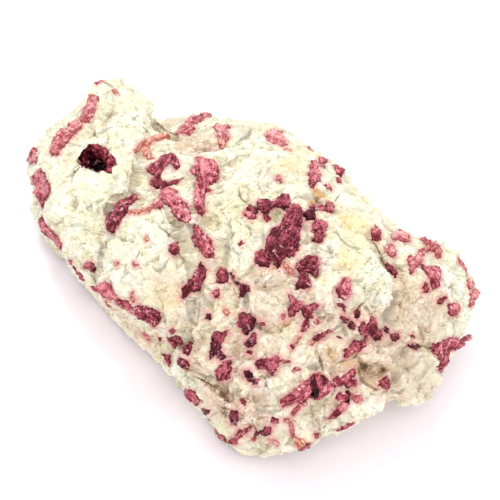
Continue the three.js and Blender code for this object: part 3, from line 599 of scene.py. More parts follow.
# Pits and hollows: place, width and depth in mm; a depth below 0 is a swelling
rockPits = [
    (166, 123, 4.2, 2.0), (115, 195, 2.2, 1.3), (128, 241, 0.8, 0.9), (139, 254, 0.9, 0.9),
    (117, 238, 0.8, 0.8), (93, 205, 0.9, 0.8), (75, 208, 0.9, 0.8), (330, 352, 1.0, 0.9),
    (365, 367, 0.8, 0.9), (391, 270, 1.8, 1.2), (244, 290, 1.6, 1.1), (270, 220, 1.2, 0.8),
    (62, 222, 1.3, 0.9), (84, 232, 1.2, 0.8), (100, 222, 1.1, 0.8), (368, 374, 1.3, 0.6),
    (337, 338, 2.6, 0.9), (206, 250, 3.0, 0.7), (232, 345, 3.0, 0.7), (242, 425, 3.4, 1.2),
    (398, 318, 3.0, 1.1), (232, 305, 1.2, 0.9), (210, 305, 1.1, 0.9), (262, 300, 1.0, 0.8),
    (330, 320, 1.2, 0.8), (268, 385, 1.4, 0.9), (196, 348, 1.0, 0.8), (356, 398, 1.1, 0.8),
    (172, 283, 1.2, 0.8), (257, 175, 1.4, 0.8), (300, 190, 1.2, 0.8), (346, 215, 1.3, 0.8),
    (402, 262, 1.3, 0.9), (456, 285, 1.1, 0.8), (116, 112, 1.0, 0.7), (146, 100, 3.2, -1.3),
    (100, 84, 2.4, -0.6), (33, 211, 1.8, -1.2), (227, 190, 2.0, -0.7), (305, 197, 2.0, -0.8),
    (66, 202, 2.0, -0.6), (100, 236, 1.8, -0.6),
]

# Seams, cracks and little pits, and painted shadow along ledges: width and depth in mm, strength, then the
# line as a start and steps
cracks = {
    # dark cracks, seams and pits, a few of them painted shadow beside a ledge
    "brown": [
        (.4, .8, 1, 196,377, 6,3, 6,3, 5,3, 5,3), (.8, 1, 1, 218,388, 4,5, 4,5, 3,4),
        (.6, .5, .9, 222,408, 4,0, 2,1), (.4, .3, .7, 231,409, 1,5), (.4, .4, .5, 222,412, 3,2),
        (.7, .6, .9, 379,252, 2,7, 3,6, 5,4), (.35, .3, .8, 371,240, 5,6, 3,5), (.5, .3, .6, 396,268, 8,3),
        (.4, .4, .8, 175,181, 5,-1, 4,-3), (.4, .4, .8, 76,171, 4,-4), (.3, .3, .8, 239,190, 1,7, 4,4, 4,3),
        (.3, .3, .7, 335,201, 4,-5), (.3, .3, .8, 335,211, 2,0), (.5, .4, .8, 230,274, 3,6, 4,5),
        (.4, .3, .7, 261,274, 1,3), (.35, .2, .6, 256,280, -1,4), (.3, .2, .7, 264,287, 2,0),
        (.35, .4, .8, 356,311, 4,-5, 3,-3), (.25, .3, .5, 363,303, 5,6, 4,5), (.3, .3, .7, 345,307, 0,6),
        (.5, .4, .8, 320,358, 1,6, 2,6), (.8, .5, .8, 361,363, 3,3, 2,4),
        (.6, .4, .7, 359,369, 1,8, 5,6, 8,5, 4,1), (.35, .3, .7, 353,359, 3,-4, 3,-4),
        (.35, .3, .6, 336,364, 5,-2, 5,-2), (.4, .3, .6, 388,388, -2,3), (.9, .4, .6, 381,369, 3,3),
        (.4, .3, .8, 253,424, 4,7, -2,5, -3,3), (.3, .3, .6, 245,398, 6,1, -1,5), (.4, .4, .7, 409,335, 6,3),
        (.3, .4, .7, 401,348, 8,-2), (.3, .4, .7, 420,346, 4,0, 7,4), (.3, .3, .7, 320,429, 3,-1, 3,-3),
        (.35, .2, .8, 315,434, 2,2), (.7, .3, .5, 419,328, 4,10), (.4, .3, .6, 178,250, 2,6, 4,5),
        (.3, .3, .7, 159,227, 6,4, 5,4, 5,5), (.35, .2, .6, 103,82, 5,2, 5,3), (.3, .2, .5, 95,96, 3,-4),
        (.4, .3, .6, 114,107, -1,5, -4,4), (.35, .3, .6, 95,131, -1,5), (.35, .3, .6, 142,126, 5,5, 3,3),
        (.3, .2, .6, 132,83, 5,3), (.4, .3, .8, 154,114, 1,7, 5,5, 6,5, 8,3), (.3, .3, .5, 104,302, 5,5),
        (.3, .2, .6, 233,324, 4,0), (.35, .3, .5, 92,276, 5,8), (.35, .2, .9, 264,378, 1,1),
        (.3, .2, .7, 241,357, 2,-1), (.3, .2, .9, 240,223, 1,1), (.3, .2, .6, 216,239, 3,1),
        (.3, .2, .6, 223,213, 1,1), (.3, .2, .5, 218,218, 1,1), (.3, .2, .5, 212,223, 2,-2),
        (.3, .3, .7, 137,257, 2,-4, 1,-2), (.4, .3, .6, 126,241, 2,0), (.4, .3, .6, 90,206, 2,-3),
        (.35, .2, .5, 73,207, 2,1), (.3, .3, .5, 124,273, 2,-5), (.35, .2, .5, 145,219, 2,0),
        (.4, .3, .5, 418,388, 3,0), (.3, .2, .6, 328,314, 1,0), (.3, .2, .5, 284,272, 1,1),
        (.3, .2, .5, 300,428, 2,1), (.3, .2, .5, 294,420, 2,2), (.4, .3, .6, 240,399, 4,5),
        (.3, .2, .5, 344,256, 2,1), (.3, .2, .4, 371,264, 2,2), (.3, .2, .4, 364,240, 2,2),
        (.5, .3, .5, 311,208, 7,0, 8,-1), (.4, .3, .5, 165,318, 1,5), (.4, .3, .5, 82,266, 2,3),
    ],
    # partly cracks, partly painted shadow along ledges and in hollows
    "grey": [
        (.9, .5, .8, 256,408, 6,3, 8,1, 9,-2), (.5, .3, .7, 66,177, 6,-2, 5,-4),
        (.5, .3, .7, 101,126, 5,-5, 4,-4), (.5, .3, .7, 96,134, 5,-2, 6,-3, 6,-2), (.5, .3, .6, 88,126, 4,3),
        (.5, .3, .6, 107,134, 1,6, -2,7), (.4, .2, .5, 68,143, 9,2, 9,3), (.5, .3, .6, 132,117, 2,3, 4,-4),
        (.4, .3, .7, 148,124, 2,4), (.4, .3, .6, 152,122, 4,5, 2,4), (.8, .5, .8, 236,144, 6,-4, 6,-4, 3,-6),
        (.3, .2, .5, 225,173, 10,-3), (.5, .4, .7, 220,167, 7,-3, 5,-3, 3,-1, 3,-3, 12,-2),
        (.3, .2, .5, 167,140, 1,6, 3,5), (.4, .2, .6, 258,182, 1,6, 3,4), (.4, .2, .6, 267,182, 1,6, 4,1),
        (.4, .2, .5, 263,179, 4,-7, 4,-5), (.4, .2, .5, 242,187, 5,1, 1,-4),
        (.4, .2, .5, 53,226, 6,-3, 5,-6), (.4, .3, .5, 90,233, 7,1, 5,-1),
        (.8, .4, .6, 106,244, -4,6, -2,8, -2,10), (.5, .4, .7, 152,266, 3,4, 5,1, 4,-3, 4,-8),
        (.6, .4, .7, 170,233, 6,-5, 4,-3), (.8, .4, .6, 187,223, 3,6, 2,5),
        (.9, .5, .7, 228,236, -1,9, -1,8, -3,8), (.35, .3, .6, 232,246, 2,6, 6,3, 2,-4),
        (.6, .3, .6, 263,228, 0,8, 0,7), (.3, .2, .6, 300,239, 5,2, 3,2), (.4, .2, .5, 312,249, 0,7),
        (.5, .3, .5, 193,166, -1,20), (.35, .3, .7, 335,228, 3,6, 3,6, 6,5, 6,3, 6,5),
        (.3, .2, .5, 417,303, -7,8, -5,8), (.5, .3, .6, 418,303, 6,3, 5,4), (.5, .3, .6, 405,285, 3,9, 1,6),
        (.4, .3, .6, 414,313, 4,7), (.4, .2, .6, 417,272, 0,5), (.4, .2, .5, 444,280, 1,7),
        (.35, .2, .5, 451,283, 1,14), (.4, .3, .6, 427,321, 3,-6),
        (1.2, .5, .7, 396,292, -5,14, -4,8, -4,10), (.6, .4, .6, 401,349, -5,8, 2,9),
        (.9, .4, .7, 391,384, 6,-7, 6,-4), (.4, .4, .7, 394,392, 7,1, 4,-6),
        (.5, .3, .6, 429,365, -3,7, -5,7), (.6, .4, .6, 186,299, 2,11, 4,14),
        (.5, .3, .6, 193,296, 2,4, 5,-2), (.4, .3, .5, 200,300, -1,12, -3,14),
        (.9, .3, .8, 245,297, 1,7, 1,7), (.3, .2, .5, 223,282, 6,12), (.4, .3, .6, 201,329, 4,-4, 3,0),
        (.3, .2, .5, 218,299, 0,7, -3,5), (.5, .3, .6, 192,331, 0,11), (.4, .3, .5, 185,330, -3,7),
        (.4, .3, .6, 175,325, 3,-8), (.4, .3, .6, 256,327, 8,3, 9,3, 7,-3, 4,-6),
        (.7, .3, .8, 228,361, 3,3, 5,-5), (.6, .3, .6, 220,384, 6,2, 5,-5), (.4, .3, .6, 181,372, 7,5, 7,5),
        (.35, .2, .5, 193,349, 4,9), (.4, .3, .6, 210,417, 6,-4, 5,-2), (.4, .3, .5, 259,436, 1,9),
        (.4, .3, .5, 250,449, 5,-2, 3,3), (.7, .4, .7, 313,311, 4,2, 3,4), (.4, .2, .5, 321,309, 4,-3),
        (.8, .4, .6, 331,331, 7,-4, 7,-7), (.6, .3, .5, 341,327, 6,7, 3,10),
        (.5, .3, .6, 318,343, -2,7, 3,8), (.8, .4, .8, 308,367, 6,1, 5,-1), (.35, .2, .5, 282,366, 8,-1),
        (.35, .2, .5, 263,352, 5,6), (.35, .2, .5, 273,350, -3,6), (.5, .3, .6, 310,402, 2,11, 1,12),
        (.5, .3, .5, 324,404, 1,10, -3,10), (.6, .3, .5, 335,416, 6,9), (.5, .3, .5, 330,396, 6,-6),
        (.5, .3, .5, 453,320, 2,14), (.4, .2, .5, 431,384, 3,12), (.4, .2, .5, 122,182, 3,5),
        (.4, .2, .5, 136,186, 2,-5), (.4, .2, .4, 123,140, 0,10), (.35, .2, .5, 146,262, 2,6),
    ],
}

# Colour spots on the rock, its own stains and some painted light and shade: place, reach in mm and strength
# of each spot
stains = {
    "ochre": [(314,203, 2.4, 1), (317,194, 2.4, 1), (340,265, 2.2, .45), (274,267, 1.5, .8),
        (282,324, 1.5, .8), (287,280, 2, .5), (352,345, 1.6, .5), (298,443, 1.8, .7), (383,371, 1.6, .7),
        (421,337, 1.8, .6), (330,352, 1.6, .8), (190,146, 2.4, .6), (312,195, 4, .4), (208,146, 2, .4),
        (146,134, 2.5, .4), (362,366, 4.2, .72), (248,196, 1.4, .4), (374,384, 3.4, .62),
        (386,374, 2.8, .62), (331,353, 2.8, .66), (352,346, 2.2, .6), (422,337, 2.8, .66),
        (345,362, 2.2, .5), (284,326, 2, .6)],
    # partly the rock's own brown stain, partly painted shade in hollows and beside cracks
    "brown": [(207,383, 1.3, .8), (222,394, 1.6, 1), (214,388, 1.3, .9), (228,402, 1.4, .8),
        (222,402, 1.4, .6), (225,410, 1.2, .6), (365,366, 2.6, 1), (371,374, 1.8, .95), (381,372, 2, .95),
        (360,359, 1, .8), (384,371, 1.6, .8), (376,389, 1, .9), (388,391, .8, .8), (361,381, 1.4, .8),
        (386,260, 1.6, .6), (396,268, 1.8, .6), (178,257, 1, .6), (315,368, 1.6, .7), (116,196, 1.4, .5),
        (90,258, 1, .5), (82,268, 1, .5), (240,350, 4.2, .6), (258,353, 3.8, .56), (400,350, 4.2, .6),
        (222,409, 3.4, .6), (260,408, 3.4, .56), (322,371, 3.4, .58), (321,312, 2.8, .5), (203,150, 3.2, .6),
        (284,131, 2.8, .45), (336,351, 3, .54), (263,285, 3, .46), (422,332, 3.2, .48), (262,450, 3, .54),
        (422,390, 3, .48), (384,252, 2.2, .5), (323,212, 2, .5), (342,331, 2.4, .5), (262,331, 2.4, .44),
        (240,372, 2.4, .5), (203,190, 2.2, .5), (222,371, 2.2, .5), (162,150, 2.4, .46), (220,150, 2.4, .46),
        (300,228, 2, .4), (165,321, 1, .5), (134,118, .9, .5), (72,173, 1.2, .4), (240,223, .5, .8)],
    "yellow": [(168,300, 5, .9), (282,168, 5, .6), (350,222, 5, .9), (364,228, 3.5, .8), (348,256, 4, .7),
        (360,240, 6, .6), (405,275, 5, .4), (290,162, 6, .7), (305,172, 4, .6), (212,222, 4.5, .6),
        (330,200, 5, .5), (375,300, 6, .3), (105,112, 7, .45), (132,98, 6, .45), (128,132, 5, .4),
        (150,140, 4, .5), (232,165, 4, .4), (352,262, 5, .5), (130,150, 4, .3)],
    # partly the rock's own beige tone, partly painted shade on faces turned from the light
    "beige": [(264,283, 7, 1), (238,335, 6, .9), (242,350, 4, .9), (268,435, 6, .6), (320,432, 4, .5),
        (186,178, 3, .8), (88,130, 3.5, .8), (200,300, 5, .7), (244,130, 5, .6), (194,370, 3.5, .9),
        (248,425, 7, .7), (335,330, 4.5, .8), (394,358, 7, 1), (175,121, 5, .8), (208,256, 4, .7),
        (125,201, 3.5, .7), (90,122, 3, .6), (154,326, 3, .6), (198,152, 3, .6), (405,300, 4.5, .8),
        (422,308, 4.5, .7), (438,326, 5, .7), (410,328, 4, .8), (386,345, 4, .6), (345,357, 4, .6),
        (340,372, 3, .5), (165,285, 7, .7), (185,310, 6, .6), (245,300, 6, .6), (285,310, 6, .5),
        (415,375, 7, .95), (430,390, 5, .95), (402,395, 6, .9), (320,350, 5, .5), (262,345, 5, .5)],
    # painted light: paler spots where the relief lies in shade
    "pale": [(196,220, 4, .9), (76,292, 3.5, .9), (100,320, 4.5, .9), (150,352, 4, .7), (326,252, 4.5, .8),
        (378,302, 4.5, .8), (450,285, 6, .8), (138,170, 4, .6), (38,165, 3, .6), (310,245, 3, .7),
        (268,388, 4, .8), (372,405, 3.5, .8), (40,208, 3, .8), (84,286, 3, .9), (200,232, 4.5, .9),
        (62,262, 4, .9), (80,150, 4, .7), (256,388, 3, .7)],
    # partly grey quartz, partly painted shade in recesses
    "quartz": [(192,312, 3, .9), (214,262, 2.6, .9), (352,320, 2.2, .6), (303,228, 2, .8), (405,335, 2, .7),
        (100,277, 2, .8), (240,300, 2.6, .6), (232,320, 3, .5), (280,340, 3, .5), (330,375, 2.6, .5),
        (270,280, 2.4, .5), (255,240, 2.4, .5), (208,300, 2.6, .7), (60,240, 2, .4), (425,318, 2.6, .5),
        (345,300, 2.4, .4)],
    "rose": [(210,149, 2.6, .9), (216,138, 2, .7), (303,229, 1.8, .7), (152,172, 1.6, .4), (420,262, 3, .5),
        (455,300, 3, .4), (190,222, 2, .4), (330,306, 1.6, .4), (222,354, 2, .4), (283,250, 2.6, .6),
        (176,166, 2, .6), (150,190, 1.6, .6), (268,212, 2, .5)],
    "blush": [(250,335, 17, .75), (385,352, 15, .9), (270,275, 7, .9), (300,405, 16, .5), (290,238, 6, .7),
        (218,398, 9, .8), (330,356, 8, .7), (248,420, 9, .9), (122,318, 7, .7), (148,338, 7, .7),
        (100,298, 5, .6), (420,305, 11, .9), (205,355, 9, .8), (192,143, 9, .8), (185,312, 8, .7),
        (320,305, 9, .7), (212,262, 5, .7), (280,170, 8, .45)],
}

rock = {
    "seed": 11,
    "voxel": 0.34,  # mm, side of the faces that the surface is first laid in
    "sealing": 0.45,  # mm, how far the crystals swell to fill their sockets
    "closing": 1.3,  # mm, half the width of the gaps that are closed
    "merge": 1e-6,  # metres between points that are one
    "rounds": {"skin": 3, "swelling": 5, "start": 2, "flow": 6, "lumps": 2},  # of smoothing
    "base": 0.4,  # mm at the bottom that stay as they are
    "undercut": (2.5, 40, 441),  # drawing units: how softly it begins, how far in it goes, where it ends
    "warp": (7.0, 0.7),  # mm: length and height of the bends in every edge
    "lumps": (10.5, 0.55, 0.35),  # mm: spacing, height and depth of the valleys between them
    "valley": 1.3,  # mm, half the width of those valleys
    "fading": (3.0, 0.15),  # mm over which the relief grows above the bottom, and its least share
    "blocks": (5.6, 0.34, 0.24, 0.22),  # mm: spacing, step, groove, and the tilt of a face
    "chips": (2.5, 0.21, 0.15, 0.34),
    "grit": (0.95, 0.075, 0.05, 0.48),
    "split": (0.3, 0.08),  # shares of the spacing: most rise of a tilted face, width of a groove
    "calm": (13.0, 0.30, 0.4),  # mm between broken and calm areas, what is left of chips and grooves there
    "calmEdge": (0.5, 1.1),  # how much is broken, and how sharply it turns calm
    "chipScale": 0.9,
    "pitSizes": 0.5,  # what a pit has of its width and depth before chance adds to it
    "pits": (2.6, 0.22, 0.42),  # mm: spacing, depth and width
    "grain": (9.0, 400.0),  # mm: size of areas that split one way, and how far apart their patterns are taken
    "slimness": (1.1, 2.0),  # of split blocks where no direction is given
    "slimming": (0.4, 0.8),  # powers of it that a block is stretched by and thinned by
    "seenFrom": 0.1,  # how squarely the rock faces the viewpoint where a direction holds
    "lean": 0.7,  # radians, most tilt of a direction
    "cleavage": 45,  # drawing units that a direction reaches
    "hollow": 0.25,  # mm, how far the whole surface is drawn in before it is roughened
    "beside": (0.45, 1.2),  # what is left of the relief against a crystal, and mm until it is whole
    "limit": 186000,  # triangles
    "sharp": 30,  # degrees past which an edge isn't smoothed
    "hollows": ((8, 2.6, 0.6), (60, 0.7, 0.4)),  # for the painted shade in creases and hollows: rounds of smoothing, gain and share
    # for the painted shade in broad recesses: rounds of smoothing and gain
    "recess": (320, 0.55),
    "rim": 1.9,  # mm of pink rock round a crystal
    "bare": (0.9, 0.6, 1.2),  # mm from a crystal and from the bottom that stay clear of loose chips
}

# Directions in which the rock splits: place, turn in degrees, and how slim the split blocks are
cleavage = [
    (235, 145, 40, 2.4), (240, 166, 22, 2.4), (278, 160, 12, 1.8), (270, 180, 55, 2.0), (300, 178, 80, 1.4),
    (100, 122, 40, 2.2), (120, 95, -40, 1.8), (120, 150, 85, 1.3), (245, 240, 84, 1.3), (215, 250, 75, 1.8),
    (290, 290, 60, 1.5), (330, 290, 75, 1.4), (385, 300, 66, 2.2), (350, 240, -35, 1.2), (410, 310, 55, 2.2),
    (420, 370, 60, 1.8), (400, 392, 15, 1.8), (440, 320, 85, 2.0), (200, 395, -42, 2.2), (185, 375, -38, 1.8),
    (300, 420, 80, 1.8), (340, 422, 60, 1.6), (370, 408, 20, 1.4), (100, 300, -45, 1.6), (140, 325, -32, 1.6),
    (240, 350, 45, 1.7), (196, 312, 80, 2.0), (245, 420, 35, 1.8), (75, 200, 10, 1.1), (80, 250, 60, 1.1),
    (335, 345, 40, 1.6), (280, 345, 60, 1.6), (430, 270, 20, 1.3), (150, 285, 5, 1.1), (135, 250, 30, 1.1),
]

# The rock is undercut below this line along its foot, given as a start and steps
foot = [
    26,205, 7,15, 7,12, 8,11, 8,8, 6,7, 5,6, 6,8, 6,7, 5,6, 6,8, 7,8, 7,8, 8,9, 8,8, 8,8, 8,7, 7,6, 7,7, 6,6,
    5,7, 5,6, 7,6, 7,8, 8,10, 8,10, 7,9, 6,8, 5,8, 6,6, 7,6, 9,6, 10,5, 12,2, 12,0, 14,-2, 14,-3, 12,-3,
    9,-5, 8,-6, 11,-4, 9,-4, 10,-4, 11,-5, 10,-5, 7,-5, 5,-7, 5,-2, 9,3, 12,1, 9,-2, 7,-5, 6,-9, 3,-10,
]

# The solid's own plain pocket, in mm and degrees
pocket = {
    "centre": (-35.8, -9.9),
    "half": (5.6, 4.0),
    "turn": -75.0,
    "floor": 20.0,
    "reach": 1.12,  # of its half size, taken as belonging to it
    "swell": 0.2,  # how far its filling goes into the rock round it
}

# Gaps between the solid's blocks that are bridged with rock: the ends as drawn, and half its thickness in mm
bridges = {
    "southGap": ((384, 388), (404, 388), 4.2), "southGapLow": ((384, 396), (406, 396), 4.0),
    "cleftNorth": ((206, 366), (238, 362), 3.6), "cleftMiddle": ((214, 384), (242, 378), 3.8),
    "cleftSouth": ((222, 404), (250, 396), 3.6), "wallGap": ((160, 352), (184, 376), 3.8),
    "notchAcross": ((290, 288), (334, 284), 3.2), "notchAlong": ((324, 260), (312, 306), 3.2),
    "quartzUpper": ((182, 300), (209, 302), 2.4), "quartzLower": ((184, 316), (207, 318), 2.4),
    "crestDip": ((214, 184), (246, 197), 2.6), "crestDipLow": ((220, 206), (248, 205), 2.2),
    "valleyBend": ((174, 256), (197, 262), 2.4), "valleyFoot": ((176, 332), (202, 336), 2.4),
}


def pocketFilling():
    # what fills the solid's plain pocket, so that a finer one can be opened in its place
    turn = math.radians(pocket["turn"])
    axes = np.array([(math.cos(turn), math.sin(turn)), (-math.sin(turn), math.cos(turn))])
    filling = bmesh.new()
    for name in ("matrix", "vug_crust"):
        places = meshArrays(frame["nodes"][name].data)[0]
        flat = (places[:, :2] / mm - pocket["centre"]) @ axes.T / pocket["half"]
        inside = (lengthsOf(flat) < pocket["reach"]) & (places[:, 2] > pocket["floor"] * mm)
        for place in places[inside].tolist():
            filling.verts.new(place)
    bmesh.ops.remove_doubles(filling, verts=filling.verts, dist=rock["merge"])
    hull = bmesh.ops.convex_hull(filling, input=filling.verts)
    loose = [item for item in hull["geom_interior"] if isinstance(item, bmesh.types.BMVert)]
    bmesh.ops.delete(filling, geom=loose, context="VERTS")
    filling.normal_update()
    for vertex in filling.verts:
        vertex.co += vertex.normal * pocket["swell"] * mm
    return filling


def addBridge(shape, start, end, radius):
    # a short bar of rock just under the line between two places
    centre = (start + end) / 2 - viewBack * radius
    across = (end - start).normalized()
    turn = across.to_track_quat("X", "Z").to_matrix()
    ball = bmesh.ops.create_icosphere(shape, subdivisions=3, radius=1.0)
    half = (end - start).length / 2
    for vertex in ball["verts"]:
        local = Vector((vertex.co.x * half, vertex.co.y * radius, vertex.co.z * radius))
        vertex.co = centre + turn @ local
        vertex.co.z = max(vertex.co.z, rock["base"] * mm)


def rockStart():
    # the matrix and its crystals as one skin of small even faces
    joined = bmesh.new()
    filling = pocketFilling()
    fillingMesh = bpy.data.meshes.new("filling")
    filling.to_mesh(fillingMesh)
    filling.free()
    joined.from_mesh(fillingMesh)
    places, triangles = meshArrays(frame["nodes"]["matrix"].data)
    solid = surfaceOf(places, triangles)
    for first, last, radius in bridges.values():
        ends = placeOn(solid, [first, last])
        if len(ends) == 2:
            addBridge(joined, Vector(ends[0]), Vector(ends[1]), radius * mm)
    for name, source in frame["nodes"].items():
        if name == "vug_crust":
            continue
        piece = bmesh.new()
        piece.from_mesh(source.data)
        bmesh.ops.remove_doubles(piece, verts=piece.verts, dist=rock["merge"])
        piece.normal_update()
        if name != "matrix":
            for vertex in piece.verts:
                vertex.co += vertex.normal * rock["sealing"] * mm
        part = bpy.data.meshes.new("part")
        piece.to_mesh(part)
        piece.free()
        joined.from_mesh(part)
        bpy.data.meshes.remove(part)
    mesh = bpy.data.meshes.new("rockStart")
    joined.to_mesh(mesh)
    joined.free()
    places, triangles = evenSkin(mesh)
    # swelling it, laying it again and drawing it back closes the sockets' narrow gaps
    flow = smoothFlow(places, triangles)
    swollen = meshFrom("swollen", places + flow * rock["closing"] * mm, triangles)
    places, triangles = evenSkin(swollen)
    return places - smoothFlow(places, triangles) * rock["closing"] * mm, triangles


def smoothFlow(places, triangles):
    normals = cornerNormals(places, triangles)
    return unitRows(relaxed(normals, sideList(triangles), rock["rounds"]["swelling"]))


def evenSkin(mesh):
    start = makeObject("skin", mesh)
    remesh = start.modifiers.new("remesh", "REMESH")
    remesh.mode = "VOXEL"
    remesh.voxel_size = rock["voxel"] * mm
    skin = evaluatedMesh(start)
    bpy.data.objects.remove(start)
    places, triangles = keepLargest(*meshArrays(skin))
    return relaxed(places, sideList(triangles), rock["rounds"]["skin"]), triangles


def keepLargest(places, triangles):
    # closed pockets inside the rock are left out
    label = np.arange(len(places))
    sides = sideList(triangles)
    while True:
        low = np.minimum(label[sides[:, 0]], label[sides[:, 1]])
        before = label.copy()
        np.minimum.at(label, sides[:, 0], low)
        np.minimum.at(label, sides[:, 1], low)
        label = label[label]
        if np.array_equal(before, label):
            break
    keep = label == np.bincount(label).argmax()
    fresh = np.cumsum(keep) - 1
    kept = triangles[keep[triangles[:, 0]]]
    return places[keep], fresh[kept].astype(np.int32)


def splitFaces(points, spacing, step, groove, tilt, source):
    # each point takes the height of its nearest block's tilted face
    seeds = spread(points, spacing, source)
    which, away = nearest(points, seeds, 2)
    own = which[:, 0]
    heights = np.array([source.uniform(-1, 1) for _ in seeds])
    ways = np.array([[source.gauss(0, 1) for _ in range(3)] for _ in seeds])
    ways *= tilt / np.maximum(lengthsOf(ways), 1e-9)[:, None]
    most, width = (share * spacing for share in rock["split"])
    rise = step * heights[own] + np.clip(((points - seeds[own]) * ways[own]).sum(1), -most, most)
    gap = away[:, 1] - away[:, 0]
    return rise - groove * np.exp(-(gap / width) ** 2)


def turnedAxes(source):
    first = np.array([source.gauss(0, 1) for _ in range(3)])
    first /= np.linalg.norm(first)
    second = np.cross(first, [source.gauss(0, 1) for _ in range(3)])
    second /= np.linalg.norm(second)
    return np.array([first, second, np.cross(first, second)])


lineReach = {
    "step": 1.5,  # drawing units between the marks along a line
    "margin": 4,  # mm round a ledge that are looked at
    "crackMargin": 8,  # drawing units, round a crack
    "steeper": 6,  # how much faster a ledge ends on its upper side
    "away": 99.0,  # mm, given to whatever is out of reach
    "softened": 2.4,  # widths of a crack that its colour reaches
    "outside": 9.0,  # widths, given to whatever no crack comes near
    "taper": 0.4,  # what is left of the width at its ends
    "slimmest": (0.6, 0.45),  # mm: least width of that colour and of the cut itself
    "shallowest": 0.01,  # mm of cut that counts
    "depth": 1.6,  # mm between a point and the seen surface, past which it is hidden
}


def lineDistance(points, line, surface, side):
    # distance in mm to a line drawn on the rock; on the far side of a ledge it is out of reach
    drawn = []
    for a, b in zip(line[:-1], line[1:]):
        drawn += stepsAlong(a, b, max(2, int(math.dist(a, b) / lineReach["step"])))
    marks = placeOn(surface, drawn + [line[-1]])
    distance = np.full(len(points), lineReach["away"])
    if len(marks) < 2:
        return distance
    margin = lineReach["margin"] * mm
    near = np.all((points > marks.min(0) - margin) & (points < marks.max(0) + margin), axis=1)
    index = np.flatnonzero(near)
    which, away = nearest(points[index], marks, 1)
    which = which[:, 0]
    away = away[:, 0] / mm
    if side:
        onward = marks[np.minimum(which + 1, len(marks) - 1)] - marks[np.maximum(which - 1, 0)]
        aside = np.cross(onward, np.array(viewBack))
        outside = ((points[index] - marks[which]) * aside).sum(1) * side < 0
        away = np.where(outside, away * lineReach["steeper"], away)
    distance[index] = away
    return distance


def followLine(points, line):
    # from each point to a line: how far, on which side, how far along it is, and the way that it runs there
    lengths = lengthsOf(np.diff(line, axis=0))
    near, side = np.full(len(points), np.inf), np.ones(len(points))
    passed, ways = np.zeros(len(points)), np.zeros((len(points), 2))
    for start, length, a, b in zip(np.cumsum(lengths) - lengths, lengths, line[:-1], line[1:]):
        along = (b - a) / length
        share = np.clip((points - a) @ along, 0, length)
        distance = lengthsOf(points - a - share[:, None] * along)
        closer = distance < near
        near[closer] = distance[closer]
        side[closer] = np.sign(along[0] * (points - a)[:, 1] - along[1] * (points - a)[:, 0])[closer]
        passed[closer] = ((start + share) / lengths.sum())[closer]
        ways[closer] = along
    return near, side, passed, ways


def undercut(places):
    # what shows beyond the foot line moves in level with the floor
    line = np.array(walked(foot), float)
    away = np.array([-viewBack.x, -viewBack.y, 0]) / math.hypot(viewBack.x, viewBack.y)
    rise = math.sin(math.radians(viewpoint["elevation"]))
    soft, widest, end = rock["undercut"]
    for _ in range(2):
        flat = drawing.flatten(places)[0]
        near, side, _, ways = followLine(flat, line)
        beyond = side * near
        shift = np.where(beyond > soft, beyond, np.clip(beyond + soft, 0, None) ** 2 / (4 * soft))
        shift *= (near < widest) * (flat[:, 0] < end) / viewpoint["unitsPerMm"] * mm
        places = places + (shift * ways[:, 1])[:, None] * np.array(viewRight)
        places += (shift * ways[:, 0] / rise)[:, None] * away
    return places


def roughenRock(places, triangles):
    source = random.Random(rock["seed"])
    sides = sideList(triangles)
    rounds = rock["rounds"]
    places = undercut(relaxed(places, sides, rounds["start"]))
    flow = unitRows(relaxed(cornerNormals(places, triangles), sides, rounds["flow"]))
    inMm = places / mm
    # gentle warp, so that no edge runs straight for long
    length, size = rock["warp"]
    warped = inMm + np.stack([waves(inMm, length, source) for _ in range(3)], 1) * size
    spacing, height, valley = rock["lumps"]
    seeds = spread(warped, spacing, source)
    which, away = nearest(warped, seeds, 2)
    lift = np.array([source.uniform(-1, 1) for _ in seeds])[which[:, 0]] * height
    big = lift - valley * np.exp(-((away[:, 1] - away[:, 0]) / rock["valley"]) ** 2)
    big = relaxed(big, sides, rounds["lumps"])
    rising, least = rock["fading"]
    mask = np.clip((inMm[:, 2] - rock["base"]) / rising, least, 1.0)
    return places, flow, warped, big * mask - rock["hollow"], mask, source


def grainAxes(place, normal, source):
    # along the blades, into the rock, and across the blades, and how slim they are
    axes = turnedAxes(source)
    slimness = source.uniform(*rock["slimness"])
    flat = drawing.flatten(place[None])[0][0]
    x, y, turn, slim = min(cleavage, key=lambda entry: math.dist(flat, entry[:2]))
    given = math.dist(flat, (x, y)) < rock["cleavage"]
    if given and normal @ np.array(viewBack) > rock["seenFrom"]:
        slimness = slim
        turn = math.radians(turn)
        along = np.array(viewRight) * math.cos(turn) + np.array(viewUp) * math.sin(turn)
        along -= normal * (along @ normal)
        along /= np.linalg.norm(along)
        across = np.cross(along, normal)
        lean = source.uniform(-rock["lean"], rock["lean"])
        axes = np.array([along, normal * math.cos(lean) + across * math.sin(lean),
                         across * math.cos(lean) - normal * math.sin(lean)])
    stretch, thin = rock["slimming"]
    return axes * np.array([1 / slimness ** stretch, 1.0, slimness ** thin])[:, None]


